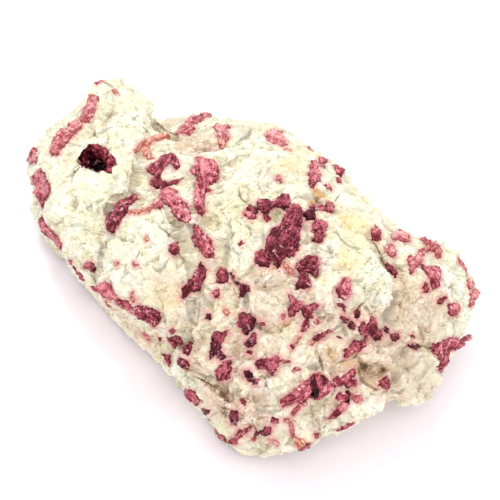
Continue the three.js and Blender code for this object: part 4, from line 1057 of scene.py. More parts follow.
def fineRoughness(warped, flow, source):
    # areas of one grain split into blocks lying one way, then break into chips and grit
    size, apart = rock["grain"]
    areas = spread(warped, size, source)
    area = nearest(warped, areas, 1)[0][:, 0]
    middle = nearest(areas, warped, 1)[0][:, 0]
    laid = np.empty_like(warped)
    for k, (place, at) in enumerate(zip(areas, middle)):
        inside = area == k
        laid[inside] = warped[inside] @ grainAxes(place * mm, flow[at], source).T + k * apart
    length, rest, restGroove = rock["calm"]
    level, steep = rock["calmEdge"]
    broken = rest + (1 - rest) * smoothStep(level + steep * waves(warped, length, source))
    spacing, step, groove, tilt = rock["blocks"]
    rise = splitFaces(laid, spacing, step, groove * (restGroove + (1 - restGroove) * broken), tilt, source)
    rise += splitFaces(laid * rock["chipScale"], *rock["chips"], source) * broken
    rise += splitFaces(warped, *rock["grit"], source) * broken
    spacing, depth, width = rock["pits"]
    holes = spread(warped, spacing, source)
    which, away = nearest(warped, holes, 1)
    chance = np.array([max(0.0, source.uniform(-1.0, 1.0)) for _ in holes])[which[:, 0]]
    sizes = rock["pitSizes"] + chance
    return rise - depth * (chance > 0) * sizes * np.exp(-(away[:, 0] / (width * sizes)) ** 2)


def crackField(places, surface, tone):
    # signed distance to the nearest crack of a tone, in widths, its strength, and how deep it cuts
    flat, away = drawing.flatten(places)
    field, force, cut = (np.full(len(places), value) for value in (lineReach["outside"], 0.0, 0.0))
    taper = lineReach["taper"]
    margin, (slimTone, slimCut) = lineReach["crackMargin"], lineReach["slimmest"]
    for width, depth, strength, *numbers in cracks[tone]:
        line = np.array(walked(numbers), float)
        index = np.flatnonzero(((flat > line.min(0) - margin) & (flat < line.max(0) + margin)).all(1))
        points = flat[index]
        near, side, passed, _ = followLine(points, line)
        near /= viewpoint["unitsPerMm"]
        slim = width * (taper + (1 - taper) * np.sin(np.pi * passed))
        reach = strength * np.clip(lineReach["softened"] - near / np.maximum(slim, slimTone), 0, 1)
        stronger = reach > force[index]
        field[index[stronger]] = (side * near / slim)[stronger]
        force[index] = np.maximum(force[index], reach)
        cut[index] = np.maximum(cut[index], depth * np.exp(-(near / np.maximum(slim, slimCut)) ** 2))
    touched = np.flatnonzero((force > 0) | (cut > lineReach["shallowest"]))
    ways = (places[touched] - drawing.origin) / away[touched][:, None]
    depths, _ = castOn(surface, np.repeat(drawing.origin[None], len(touched), 0), ways)
    hidden = touched[~(np.abs(depths - away[touched]) < lineReach["depth"] * mm)]
    force[hidden] = 0
    cut[hidden] = 0
    return field, force, cut


rockPlaces, rockTriangles = rockStart()
print("rock laid out:", len(rockTriangles), "triangles")
rockPlaces, rockFlow, rockWarped, bigRise, edgeMask, rockRandom = roughenRock(rockPlaces, rockTriangles)
smoothSurface = surfaceOf(rockPlaces, rockTriangles)
for width, depth, side, line in rockLines.values():
    reach = lineDistance(rockPlaces, walked(line), smoothSurface, side)
    bigRise -= depth * np.exp(-(reach / width) ** 2)
for x, y, width, depth in rockPits:
    mark = placeOn(smoothSurface, [(x, y)])
    if len(mark):
        reach = lengthsOf(rockPlaces - mark[0]) / mm
        bigRise -= depth * np.exp(-(reach / width) ** 2)
for tone in cracks:
    bigRise -= crackField(rockPlaces, smoothSurface, tone)[2]


def insideBox(places):
    return np.minimum(np.maximum(places, boxLow), boxHigh)


bigPlaces = insideBox(rockPlaces + rockFlow * bigRise[:, None] * mm)
carrier = surfaceOf(bigPlaces, rockTriangles)
crackCount = sum(len(lines) for lines in cracks.values())
print("rock shaped:", len(rockLines), "ledges,", len(rockPits), "pits,", crackCount, "cracks")


crystal = {
    "seed": 23,
    "edgeStep": 0.34,  # mm between points of an outline
    "innerStep": 0.25,  # mm between points inside it
    "ragged": (1.3, 0.22),  # mm: length and height of the teeth of its edge
    "teeth": 5,  # waves that make them up
    "grow": 0.13,  # mm added all round an outline
    "bevel": 0.27,  # mm, how quickly the sides rise
    "footing": -0.12,  # mm, where the sides leave the rock
    "standing": 0.65,  # of its height, how far a crystal's middle stands clear
    "rim": 0.42,  # mm of painted shade along the edge
    "depth": 1.3,  # mm sunk in the rock
    "lowest": 0.3,  # mm above the floor
    "facet": (1.5, 0.11, 0.32, 0.10),  # mm: spacing, step, tilt and crevice depth
    "crevice": 0.14,  # mm, half its width
    "jitter": (0.1, 0.9),  # of the spacing, where a facet's middle may lie
    "slopes": (0.2, 1.0),  # of the tilt
    "lightFrom": (4.2, 5.8, 0.5),  # radians: the side that is painted paler, as if lit from there, and how far that differs
    "inner": (0.87, 0.2, 0.45),  # of the inner step: between rows, jitter, and gap to the outline
    "closest": 1e-6,  # drawing units under which two points are one
    "rounds": (6, 14),  # of smoothing of its base and of its direction
    "seams": 0.7,  # how dark the painted shade in crevices is, against that along the edge
    "sharp": 24,  # degrees past which an edge isn't smoothed
    "drop": (0.6, 1.5),  # share of its size, and mm, past which a point is over the rock's edge
    "overhang": 0.3,  # what is left of an outline beyond the rock's edge
    "spanning": 0.1,  # mm, how far a crystal sinks at most into a hollow that it spans
    "stretch": 1.8,  # facets are this much longer along the crystal
    "striation": (11.0, 0.035),  # how close its fine ribs are, and their height in mm
    "shifts": (6, 90),  # most that its ribs and its streaks are shifted by
}


def raggedRing(outline, unit, source):
    ring = []
    step = crystal["edgeStep"] * mm / unit
    for a, b in zip(outline, outline[1:] + outline[:1]):
        ring += stepsAlong(a, b, max(1, round(math.dist(a, b) / step)))
    ring = np.array(ring, float)
    along = np.roll(ring, -2, axis=0) - np.roll(ring, 2, axis=0)
    outward = unitRows(np.stack([along[:, 1], -along[:, 0]], 1))
    area = (ring[:, 0] * np.roll(ring[:, 1], -1) - ring[:, 1] * np.roll(ring[:, 0], -1)).sum()
    ring += outward * math.copysign(crystal["grow"] * mm / unit, area)
    length, size = (value * mm / unit for value in crystal["ragged"])
    return ring + np.stack([waves(ring, length, source, crystal["teeth"]) for _ in range(2)], 1) * size


def insideRing(points, ring):
    after = np.roll(ring, -1, axis=0)
    x, y = points[:, 0][:, None], points[:, 1][:, None]
    rising = (ring[:, 1] > y) != (after[:, 1] > y)
    run = after[:, 1] - ring[:, 1]
    across = ring[:, 0] + (y - ring[:, 1]) * (after[:, 0] - ring[:, 0]) / np.where(run == 0, 1e-9, run)
    return (rising & (x < across)).sum(1) % 2 == 1


def ringDistance(points, ring):
    along = np.roll(ring, -1, axis=0) - ring
    away = points[:, None] - ring
    share = np.clip((away * along).sum(2) / np.maximum((along ** 2).sum(1), 1e-12), 0, 1)
    return np.sqrt(((away - share[:, :, None] * along) ** 2).sum(2).min(1))


def facetField(flat, source):
    # tilted facets, longer along the crystal than across it, and the places of the points on it
    spacing, step, tilt, crevice = crystal["facet"]
    centred = flat - flat.mean(0)
    _, _, axes = np.linalg.svd(centred, full_matrices=False)
    spots = centred @ axes.T
    laid = spots * np.array([1.0, crystal["stretch"]])
    low, high = laid.min(0) - spacing, laid.max(0) + spacing
    seeds = []
    for i in range(int((high[0] - low[0]) / spacing) + 1):
        for j in range(int((high[1] - low[1]) / spacing) + 1):
            seeds.append((low[0] + (i + source.uniform(*crystal["jitter"])) * spacing,
                          low[1] + (j + source.uniform(*crystal["jitter"])) * spacing))
    seeds = np.array(seeds)
    away = np.linalg.norm(laid[:, None] - seeds, axis=2)
    order = np.argsort(away, axis=1)[:, :2]
    first = np.take_along_axis(away, order[:, :1], 1)[:, 0]
    second = np.take_along_axis(away, order[:, 1:], 1)[:, 0]
    own = order[:, 0]
    turns = [source.uniform(0, 2 * math.pi) for _ in seeds]
    slopes = np.array([(math.cos(turn), math.sin(turn)) for turn in turns]) * tilt
    slopes *= np.array([source.uniform(*crystal["slopes"]) for _ in seeds])[:, None]
    shade = np.array([source.random() for _ in seeds])
    lift = np.array([source.uniform(-1, 1) for _ in seeds]) * step
    seam = np.exp(-((second - first) / crystal["crevice"]) ** 2)
    height = lift[own] + ((laid - seeds[own]) * slopes[own]).sum(1) - crevice * seam
    close, deep = crystal["striation"]
    ribShift, streakShift = crystal["shifts"]
    height += deep * np.sin(laid[:, 1] * close + source.uniform(0, ribShift))
    # painted shade: each crystal is paler towards one side, as if lit from there
    low, high, differing = crystal["lightFrom"]
    turn = source.uniform(low, high)
    lean = centred @ np.array([math.cos(turn), math.sin(turn)]) / max(np.abs(spots).max(), 0.5)
    layers = {"facet": shade[own], "seam": seam, "lean": lean + source.uniform(-differing, differing),
              "along": spots[:, 0] + source.uniform(0, streakShift), "across": spots[:, 1]}
    return height, layers


def filledRing(ring, step, source):
    # triangles over the inside of a ring of flat points
    low, high = ring.min(0), ring.max(0)
    rowStep, jitter, gap = crystal["inner"]
    inner = []
    for j in range(int((high[1] - low[1]) / (step * rowStep)) + 1):
        for i in range(int((high[0] - low[0]) / step) + 1):
            inner.append((low[0] + (i + 0.5 * (j % 2) + source.uniform(-jitter, jitter)) * step,
                          low[1] + (j + source.uniform(-jitter, jitter)) * step * rowStep))
    inner = np.array(inner)
    inner = inner[insideRing(inner, ring)]
    if len(inner):
        inner = inner[ringDistance(inner, ring) > step * gap]
    points = [Vector(point) for point in ring.tolist() + inner.tolist()]
    edges = [(k, (k + 1) % len(ring)) for k in range(len(ring))]
    flat, _, faces, _, _, _ = geometry.delaunay_2d_cdt(points, edges, [], 1, crystal["closest"])
    flat = np.array([tuple(point) for point in flat])
    faces = np.array([face for face in faces if len(face) == 3], np.int32)
    a, b, c = (flat[faces[:, k]] for k in range(3))
    area = (b[:, 0] - a[:, 0]) * (c[:, 1] - a[:, 1]) - (b[:, 1] - a[:, 1]) * (c[:, 0] - a[:, 0])
    faces = faces[np.abs(area) > 1e-9]
    used = np.unique(faces)
    fresh = np.full(len(flat), -1)
    fresh[used] = np.arange(len(used))
    return flat[used], fresh[faces]


def closedShell(top, under, faces, outward):
    way = np.cross(top[faces[:, 1]] - top[faces[:, 0]], top[faces[:, 2]] - top[faces[:, 0]]).sum(0)
    if way @ outward < 0:
        faces = faces[:, ::-1]
    directed = set()
    for face in faces.tolist():
        directed.update([(face[0], face[1]), (face[1], face[2]), (face[2], face[0])])
    total = len(top)
    walls = []
    for i, j in sorted(directed):
        if (j, i) not in directed:
            walls += [(j, i, i + total), (j, i + total, j + total)]
    shell = np.concatenate([faces, faces[:, ::-1] + total, np.array(walls, np.int32)])
    return {"places": np.concatenate([top, under]), "faces": shell, "top": faces}


def crystalShell(outline, plane, surface, proud, source, overhang=1.0):
    ring = raggedRing(outline, plane.unit, source)
    step = crystal["innerStep"] * mm / plane.unit
    low, high = ring.min(0), ring.max(0)
    flat, faces = filledRing(ring, step, source)
    starts, ways = plane.lines(flat)
    depths, normals = castOn(surface, starts, ways)
    met = ~np.isnan(depths)
    if met.sum() < 3:
        return None
    middle = np.median(depths[met])
    size = max(high - low) * plane.unit
    share, beyond = crystal["drop"]
    met &= depths - middle < share * size + beyond * mm
    if met.sum() < 3:
        return None
    inset = ringDistance(flat, ring) * plane.unit / mm
    held = flat.copy()
    for k in np.flatnonzero(~met):
        close = np.flatnonzero(met)[np.argmin(lengthsOf(flat[met] - flat[k]))]
        depths[k] = depths[close]
        normals[k] = normals[close]
        held[k] = flat[close] + overhang * (flat[k] - flat[close])
    starts, ways = plane.lines(held)
    sides = sideList(faces)
    baseRounds, wayRounds = crystal["rounds"]
    depths = np.minimum(relaxed(depths, sides, baseRounds), depths + crystal["spanning"] * mm)
    normals = unitRows(relaxed(normals, sides, wayRounds))
    base = starts + ways * depths[:, None]
    height, layers = facetField(flat * plane.unit / mm, source)
    climb = smoothStep(inset / crystal["bevel"])
    rise = crystal["footing"] + (crystal["standing"] * proud - crystal["footing"]) * climb + height * climb
    top = base + normals * rise[:, None] * mm
    under = base - normals * crystal["depth"] * mm
    under[:, 2] = np.maximum(under[:, 2], crystal["lowest"] * mm)
    top = insideBox(top)
    shell = closedShell(top, under, faces, normals.mean(0))
    # painted shade: dark in the crevices between facets and along the edge where the crystal meets the rock
    layers["seam"] = np.maximum(layers["seam"] * crystal["seams"], 1 - smoothStep(inset / crystal["rim"]))
    shell["layers"] = {key: np.concatenate([value, value]) for key, value in layers.items()}
    return shell


def joinShells(shells, part="faces"):
    starts = np.cumsum([0] + [len(shell["places"]) for shell in shells])
    faces = np.concatenate([shell[part] + start for shell, start in zip(shells, starts)])
    layers = {key: np.concatenate([shell["layers"][key] for shell in shells]) for key in shells[0]["layers"]}
    return np.concatenate([shell["places"] for shell in shells]), faces, layers


# The vug: a pocket whose far wall drops away deep and is painted dark as its shadow, and whose near wall is
# lined with wine-red grains
vug = {
    "seed": 5,
    "mouth": [90,144, 7,0, 8,4, 5,6, 5,6, 0,6, -3,6, -8,-1, -8,-1, -8,-2, -5,-1, -4,-5, -1,-3, 4,-7],
    "deepSpot": (90, 158),
    "depth": 8.5,  # mm at the deep spot
    "shallow": 2.2,  # mm over the lined wall
    "reach": (2.6, 5.6),  # mm from the deep spot over which the floor comes up
    "wall": 1.3,
    "rounds": 160,  # of smoothing, which draw a skin over its mouth
    "lean": 0.6,  # how far it runs towards the viewpoint's line, against the rock's own slope
    "bowl": 2.6,  # mm from the rim to its full depth
    "facets": (1.3, 0.3),  # how rough its lining is, and mm over which that starts
    "lap": 0.1,  # mm that the lining stands over the rock at its rim
    "edge": 0.05,  # mm inside its mouth that stay on the rock
    "flat": 0.4,  # of the first reach, where it is deepest throughout
    "seams": 0.8,  # how dark the painted shade in crevices is, against that at the deep spot
    "dark": (1.3, 2.0),  # mm round the deep spot that are painted darkest as shadow, and over which that ends
}


def vugShell(surface, source):
    ring = raggedRing(walked(vug["mouth"]), drawing.unit, source)
    step = crystal["innerStep"] * mm / drawing.unit
    flat, faces = filledRing(ring, step, source)
    starts, ways = drawing.lines(flat)
    inset = ringDistance(flat, ring) * drawing.unit / mm
    rim = inset < vug["edge"]
    depths, normals = castOn(surface, starts, ways)
    sides = sideList(faces)
    held = depths[rim]
    depths[~rim] = held.mean()
    for _ in range(vug["rounds"]):
        depths = relaxed(depths, sides, 1, 1.0)
        depths[rim] = held
    inward = -(normals[rim].mean(0) + vug["lean"] * np.array(viewBack))
    inward /= np.linalg.norm(inward)
    away = lengthsOf(flat - np.array(vug["deepSpot"])) * drawing.unit / mm
    near, far = vug["reach"]
    rising = smoothStep((away - near * vug["flat"]) / (far - near))
    depth = vug["depth"] + (vug["shallow"] - vug["depth"]) * rising
    share = np.clip(inset / vug["bowl"], 0, 1)
    bowl = depth * np.sqrt(1 - (1 - share) ** 2)
    height, layers = facetField(flat * drawing.unit / mm, source)
    rough, start = vug["facets"]
    bowl -= height * rough * smoothStep(inset / start)
    base = starts + ways * depths[:, None]
    top = base + inward * (bowl - vug["lap"])[:, None] * mm
    under = base + inward * (bowl + vug["wall"])[:, None] * mm
    darkest, fading = vug["dark"]
    dark = 1 - smoothStep((away - darkest) / fading)
    shell = closedShell(top, under, faces, -inward)
    # painted shadow: dark in the crevices and deep in the pocket
    layers["seam"] = np.maximum(layers["seam"] * vug["seams"], dark)
    shell["layers"] = {key: np.concatenate([value, value]) for key, value in layers.items()}
    shell["inward"] = inward
    return shell


vugLining = vugShell(carrier, random.Random(vug["seed"]))


shadeSlots = {
    "rose": "tourmaline_rose", "salmon": "tourmaline_rose", "ochre": "tourmaline_rose",
    "magenta": "tourmaline_magenta", "wine": "tourmaline_wine", "plum": "tourmaline_wine",
    "black": "tourmaline_wine",
}
nodeSlots = {part["node"]: part["material_slot"] for part in frame["record"]["subparts"]}
crystalRandom = random.Random(crystal["seed"])
crystalPieces = {}  # name: (shells, shade, slot, replaced node or nothing)

for name, (shade, proud, outlines) in seenCrystals.items():
    shells = [crystalShell(walked(outline), drawing, carrier, proud, crystalRandom) for outline in outlines]
    shells = [shell for shell in shells if shell]
    crystalPieces[name] = (shells, shade, nodeSlots[name + "_crystal"], name + "_crystal")

gathered = {}
for shade, proud, outline in smallCrystals:
    shell = crystalShell(walked(outline), drawing, carrier, proud, crystalRandom, crystal["overhang"])
    if shell:
        gathered.setdefault(shade, []).append(shell)

# The sides that the drawing doesn't reach: the solids there, then smaller ones strewn between them
hiddenNodes = {
    "head_back": ("rose", 0.7), "back_west": ("magenta", 0.8), "back_middle": ("wine", 0.8),
    "back_east": ("rose", 0.7), "back_lobe": ("magenta", 0.8), "west_low": ("magenta", 0.7),
}

strewn = {
    "count": 95,
    "tries": 6000,
    "lowest": 2.5,  # mm above the floor
    "steepest": -0.5,  # how far the rock may face down
    "clear": 4.2,  # mm kept between neighbours
    "thinnest": 0.4,  # mm, half the width
    "proud": (0.3, 0.8),
    "corners": [7, 8, 9, 10],
    "cornerShift": 0.25,
    "cornerReach": (0.78, 1.12),
    "long": (0.7, 2.6),  # mm, half the length
    "slimness": (0.35, 0.8),
    "shades": ["rose", "rose", "magenta", "magenta", "wine", "wine", "salmon"],
    "upright": 0.9,  # how near a crystal's length may come to the rock's own direction
    "edgeOn": 0.05,  # how squarely the rock faces the viewpoint before it counts as seen
    "lift": (0.4, 0.9),  # mm above the rock and above a crystal from where the viewpoint is looked for
    "looks": 40,  # points of a crystal that are tried
}


def roundedOutline(long, wide, source):
    count = source.choice(strewn["corners"])
    shift = strewn["cornerShift"]
    outline = []
    for k in range(count):
        turn = 2 * math.pi * (k + source.uniform(-shift, shift)) / count
        reach = source.uniform(*strewn["cornerReach"])
        outline.append((long * reach * math.cos(turn), wide * reach * math.sin(turn)))
    return outline


def surfacePlane(place, along, source):
    hit, normal, _, _ = carrier.find_nearest(place)
    if abs(normal.dot(along)) > strewn["upright"]:
        along = Vector((source.uniform(-1, 1), source.uniform(-1, 1), source.uniform(-1, 1)))
    return TangentPlane(hit, np.array(normal), np.array(along))


for name, (shade, proud) in hiddenNodes.items():
    places = meshArrays(frame["nodes"][name + "_crystal"].data)[0]
    middle = places.mean(0)
    _, _, axes = np.linalg.svd(places - middle, full_matrices=False)
    plane = surfacePlane(Vector(middle), Vector(axes[0]), crystalRandom)
    spreadOut = (places - plane.origin) @ plane.axes[:2].T / mm
    long, wide = (spreadOut.max(0) - spreadOut.min(0)) / 2
    shift = (spreadOut.max(0) + spreadOut.min(0)) / 2
    outline = [(x + shift[0], y + shift[1]) for x, y in roundedOutline(long, wide, crystalRandom)]
    shells = [crystalShell(outline, plane, carrier, proud, crystalRandom)]
    crystalPieces[name] = (shells, shade, nodeSlots[name + "_crystal"], name + "_crystal")


def hiddenFromView(place, normal):
    toView = viewOrigin - place
    if normal.dot(toView.normalized()) < strewn["edgeOn"]:
        return True
    start = place + normal * strewn["lift"][0] * mm
    return carrier.ray_cast(start, toView.normalized())[0] is not None


def allHidden(shell):
    tops = shell["places"][:len(shell["places"]) // 2]
    for place in tops[::max(1, len(tops) // strewn["looks"])].tolist():
        toView = (viewOrigin - Vector(place)).normalized()
        if carrier.ray_cast(Vector(place) + toView * strewn["lift"][1] * mm, toView)[0] is None:
            return False
    return True


def strewCrystals():
    taken = [Vector(shell["places"].mean(0)) for shells, *_ in crystalPieces.values() for shell in shells]
    placed = 0
    tries = 0
    while placed < strewn["count"] and tries < strewn["tries"]:
        tries += 1
        place = Vector(bigPlaces[crystalRandom.randrange(len(bigPlaces))])
        gap = min((place - other).length for other in taken)
        if place.z < strewn["lowest"] * mm or gap < strewn["clear"] * mm:
            continue
        hit, normal, _, _ = carrier.find_nearest(place)
        if normal.z < strewn["steepest"] or not hiddenFromView(hit, normal):
            continue
        along = Vector([crystalRandom.uniform(-1, 1) for _ in range(3)])
        long = crystalRandom.uniform(*strewn["long"])
        wide = long * crystalRandom.uniform(*strewn["slimness"])
        outline = roundedOutline(long, max(wide, strewn["thinnest"]), crystalRandom)
        plane = surfacePlane(hit, along, crystalRandom)
        proud = crystalRandom.uniform(*strewn["proud"])
        shell = crystalShell(outline, plane, carrier, proud, crystalRandom, crystal["overhang"])
        if shell and allHidden(shell):
            gathered.setdefault(crystalRandom.choice(strewn["shades"]), []).append(shell)
            taken.append(place)
            placed += 1
    return placed


print("crystals strewn on the far sides:", strewCrystals())
for shade, shells in gathered.items():
    crystalPieces["small_" + shade] = (shells, shade, shadeSlots[shade], None)
# every shell, so that the rock can be cleared from over it
crystalShells = [shell for shells, *_ in crystalPieces.values() for shell in shells]
print("crystals shaped:", len(crystalShells), "in", len(crystalPieces), "pieces")

# The rock's fine surface, calmer against a crystal, and cleared from over the crystals
topPlaces = np.concatenate([shell["places"][:len(shell["places"]) // 2] for shell in crystalShells])
topNear = gapTo(bigPlaces, topPlaces) / mm
leftOver, whole = rock["beside"]
fineRise = fineRoughness(rockWarped, rockFlow, rockRandom) * edgeMask
fineRise *= leftOver + (1 - leftOver) * smoothStep(topNear / whole)
finePlaces = bigPlaces + rockFlow * fineRise[:, None] * mm

clearing = {
    "near": 2.2,  # mm from a crystal within which the rock is looked at
    "cover": 0.45,  # mm that it goes under one
    "above": 2.6,  # mm over which a crystal is looked for above the rock
    "drop": (1.2, 1.6),  # mm above the rock, from where it is looked for downwards, and how far
    "pocket": (13, 12),  # mm: how far round the pocket's middle, and half the depth of its own search
    "behind": 0.6,  # of the lining's wall, where the rock goes
}


def clearCrystals(places):
    tops, faces, _ = joinShells(crystalShells, "top")
    lids = surfaceOf(tops, faces)
    moved = 0
    cover = clearing["cover"]
    start, reach = clearing["drop"]
    for k in np.flatnonzero(topNear < clearing["near"]):
        place = Vector(places[k])
        normal = Vector(rockFlow[k])
        hit = lids.ray_cast(place - normal * cover * mm, normal, clearing["above"] * mm)[0]
        if hit is None:
            hit = lids.ray_cast(place + normal * start * mm, -normal, reach * mm)[0]
            if hit is None or (hit - place).dot(normal) > 0:
                continue
        sunk = (place - hit).dot(normal) + cover * mm
        if sunk > 0:
            places[k] = place - normal * sunk
            moved += 1
    return moved


def clearVug(places):
    # rock inside the pocket goes behind its lining
    lid = surfaceOf(vugLining["places"], vugLining["top"])
    inward = Vector(vugLining["inward"])
    middle = vugLining["places"].mean(0)
    around, reach = clearing["pocket"]
    behind = clearing["behind"]
    for k in np.flatnonzero(lengthsOf(places - middle) < around * mm):
        hit, _, _, depth = lid.ray_cast(Vector(places[k]) - inward * reach * mm, inward, 2 * reach * mm)
        if hit is not None and depth - reach * mm > -(vug["wall"] * behind) * mm:
            places[k] = hit + inward * vug["wall"] * behind * mm


print("rock cleared at", clearCrystals(finePlaces), "points")
clearVug(finePlaces)
finePlaces = insideBox(finePlaces)


def reducedMesh(places, triangles, limit):
    piece = makeObject("rockSurface", meshFrom("rockSurface", places, triangles))
    thin = piece.modifiers.new("thin", "DECIMATE")
    thin.ratio = min(1.0, limit / len(triangles))
    mesh = evaluatedMesh(piece)
    bpy.data.objects.remove(piece)
    return meshArrays(mesh)


spotEdge = (1.15, 1.3)  # how full a stain is, and how much wider than its reach it fades


def spotLayer(places, spots):
    marks = [placeOn(carrier, [(x, y)]) for x, y, _, _ in spots]
    layer = np.zeros(len(places))
    full, wider = spotEdge
    for mark, (_, _, reach, strength) in zip(marks, spots):
        if len(mark):
            away = lengthsOf(places - mark[0]) / mm
            layer = np.maximum(layer, strength * smoothStep(full - away / (reach * wider)))
    return layer


def makeRock():
    places, triangles = reducedMesh(finePlaces, rockTriangles, rock["limit"])
    places = insideBox(places)
    sides = sideList(triangles)
    normals = cornerNormals(places, triangles)

    def hollowness(rounds):
        return ((relaxed(places, sides, rounds) - places) * normals).sum(1) / mm

    layers = {name: spotLayer(places, spots) for name, spots in stains.items()}
    # painted shade: how deep each point lies in creases and hollows, and in broad recesses
    layers["hollow"] = sum(np.clip(hollowness(rounds) * gain, -1, 1) * share
                           for rounds, gain, share in rock["hollows"])
    rounds, gain = rock["recess"]
    layers["recess"] = np.clip(hollowness(rounds) * gain, 0, 1)
    for tone in cracks:
        layers[tone + "Crack"], layers[tone + "Force"], _ = crackField(places, carrier, tone)
    crystalAway = gapTo(places, topPlaces) / mm
    layers["halo"] = 1 - smoothStep(crystalAway / rock["rim"])
    clear, fading, bottom = rock["bare"]
    layers["bare"] = smoothStep((crystalAway - clear) / fading) * (places[:, 2] > bottom * mm)
    mesh = meshFrom("rock", places, triangles, layers)
    shadeBySharpness(mesh, rock["sharp"])
    return makeObject("rock", mesh)


rockPiece = makeRock()
settle(rockPiece, "matrix", "matrix")
print("rock finished:", len(rockPiece.data.polygons), "triangles")

crystalObjects = []
for name, (shells, shade, slotName, replaced) in crystalPieces.items():
    if not shells:
        continue
    mesh = meshFrom(name, *joinShells(shells))
    shadeBySharpness(mesh, crystal["sharp"])
    piece = makeObject(name, mesh)
    settle(piece, slotName, *([replaced] if replaced else []))
    crystalObjects.append((piece, shade))
print("crystals finished:", sum(len(piece.data.polygons) for piece, _ in crystalObjects), "triangles")

# The rock's finish
feldspar = {
    "cream": (0.803, 0.796, 0.63),
    "noise": {  # scale, detail and roughness
        "broad": (70.0, 4.0, 0.6), "medium": (260.0, 4.0, 0.6), "small": (900.0, 4.0, 0.65),
        "patches": (330.0, 3.0, 0.6), "weather": (380.0, 5.0, 0.7), "specks": (1500.0, 2.0, 0.5),
    },
    "grainScale": 470.0,
    "coats": {  # tone, the values between which it comes in, and the most of it
        "buff": ((0.78, 0.742, 0.52), 0.35, 0.65, 1.0),
        "chalk": ((0.826, 0.842, 0.715), 0.44, 0.62, 1.0),
        "greyGrain": ((0.60, 0.575, 0.46), 0.70, 0.84, 0.42),
        "tanGrain": ((0.74, 0.60, 0.38), 0.84, 0.92, 0.3),
        "worn": ((0.55, 0.42, 0.275), 0.50, 0.60, 0.6),
        "fresh": ((0.90, 0.875, 0.79), 0.49, 0.38, 0.7),
        # painted shade in broad recesses and in creases
        "recess": ((0.68, 0.575, 0.41), 0.15, 0.95, 0.40),
        "dips": ((0.44, 0.35, 0.21), 0.25, 0.90, 0.42),
        "specks": ((0.35, 0.29, 0.20), 0.62, 0.74, 0.5),
    },
    "stains": {  # tone and the most of it; the pale spots are painted light, and beige, brown and quartz are partly painted shade
        "pale": ((0.87, 0.862, 0.79), 0.75), "blush": ((0.70, 0.52, 0.39), 0.75),
        "yellow": ((0.86, 0.71, 0.40), 0.85), "beige": ((0.68, 0.57, 0.43), 0.72),
        "quartz": ((0.565, 0.54, 0.465), 0.8), "rose": ((0.66, 0.40, 0.40), 0.7),
        "ochre": ((0.62, 0.36, 0.12), 0.8), "brown": ((0.25, 0.13, 0.055), 0.85),
    },
    "stainEdge": ((0.25, 0.85), (0.02, 0.2)),  # where a stain comes in, broken up and as it was placed
    "wobble": (1.5, 0.35, 0.6),  # how far noise breaks up the edge of a stain, of a pink rim, of the painted shade in recesses
    "pinkRim": (0.64, 0.27, 0.255),
    "rimEdge": (0.17, 1.07),
    "rimPatches": (0.345, 0.565, 0.22, 0.9),
    # crack colours; the grey is partly painted shadow
    "cracks": {"grey": (0.40, 0.355, 0.28), "brown": (0.17, 0.085, 0.04)},
    "crackEdge": (0.45, 1.25, 1.0, 0.0),
    "crackWobble": 2.2,
    "roughness": (0.3, 0.7, 0.42, 0.72),
    "shader": {
        "Specular IOR Level": 0.45, "Subsurface Weight": 0.12, "Subsurface Radius": (1.0, 0.85, 0.7),
        "Subsurface Scale": 0.0012,
    },
    "sheets": ((0.5, 0.9, 0.3), (1.0, 2.4, 0.8), 520.0),  # turn, stretch and scale of split sheets
    "steps": ((1.2, 0.2, 1.1), (2.2, 0.9, 1.0), 900.0),
    "relief": (0.5, 0.55, 0.3),  # shares of noise, sheets and steps
    "bump": (1.0, 0.0007),
}


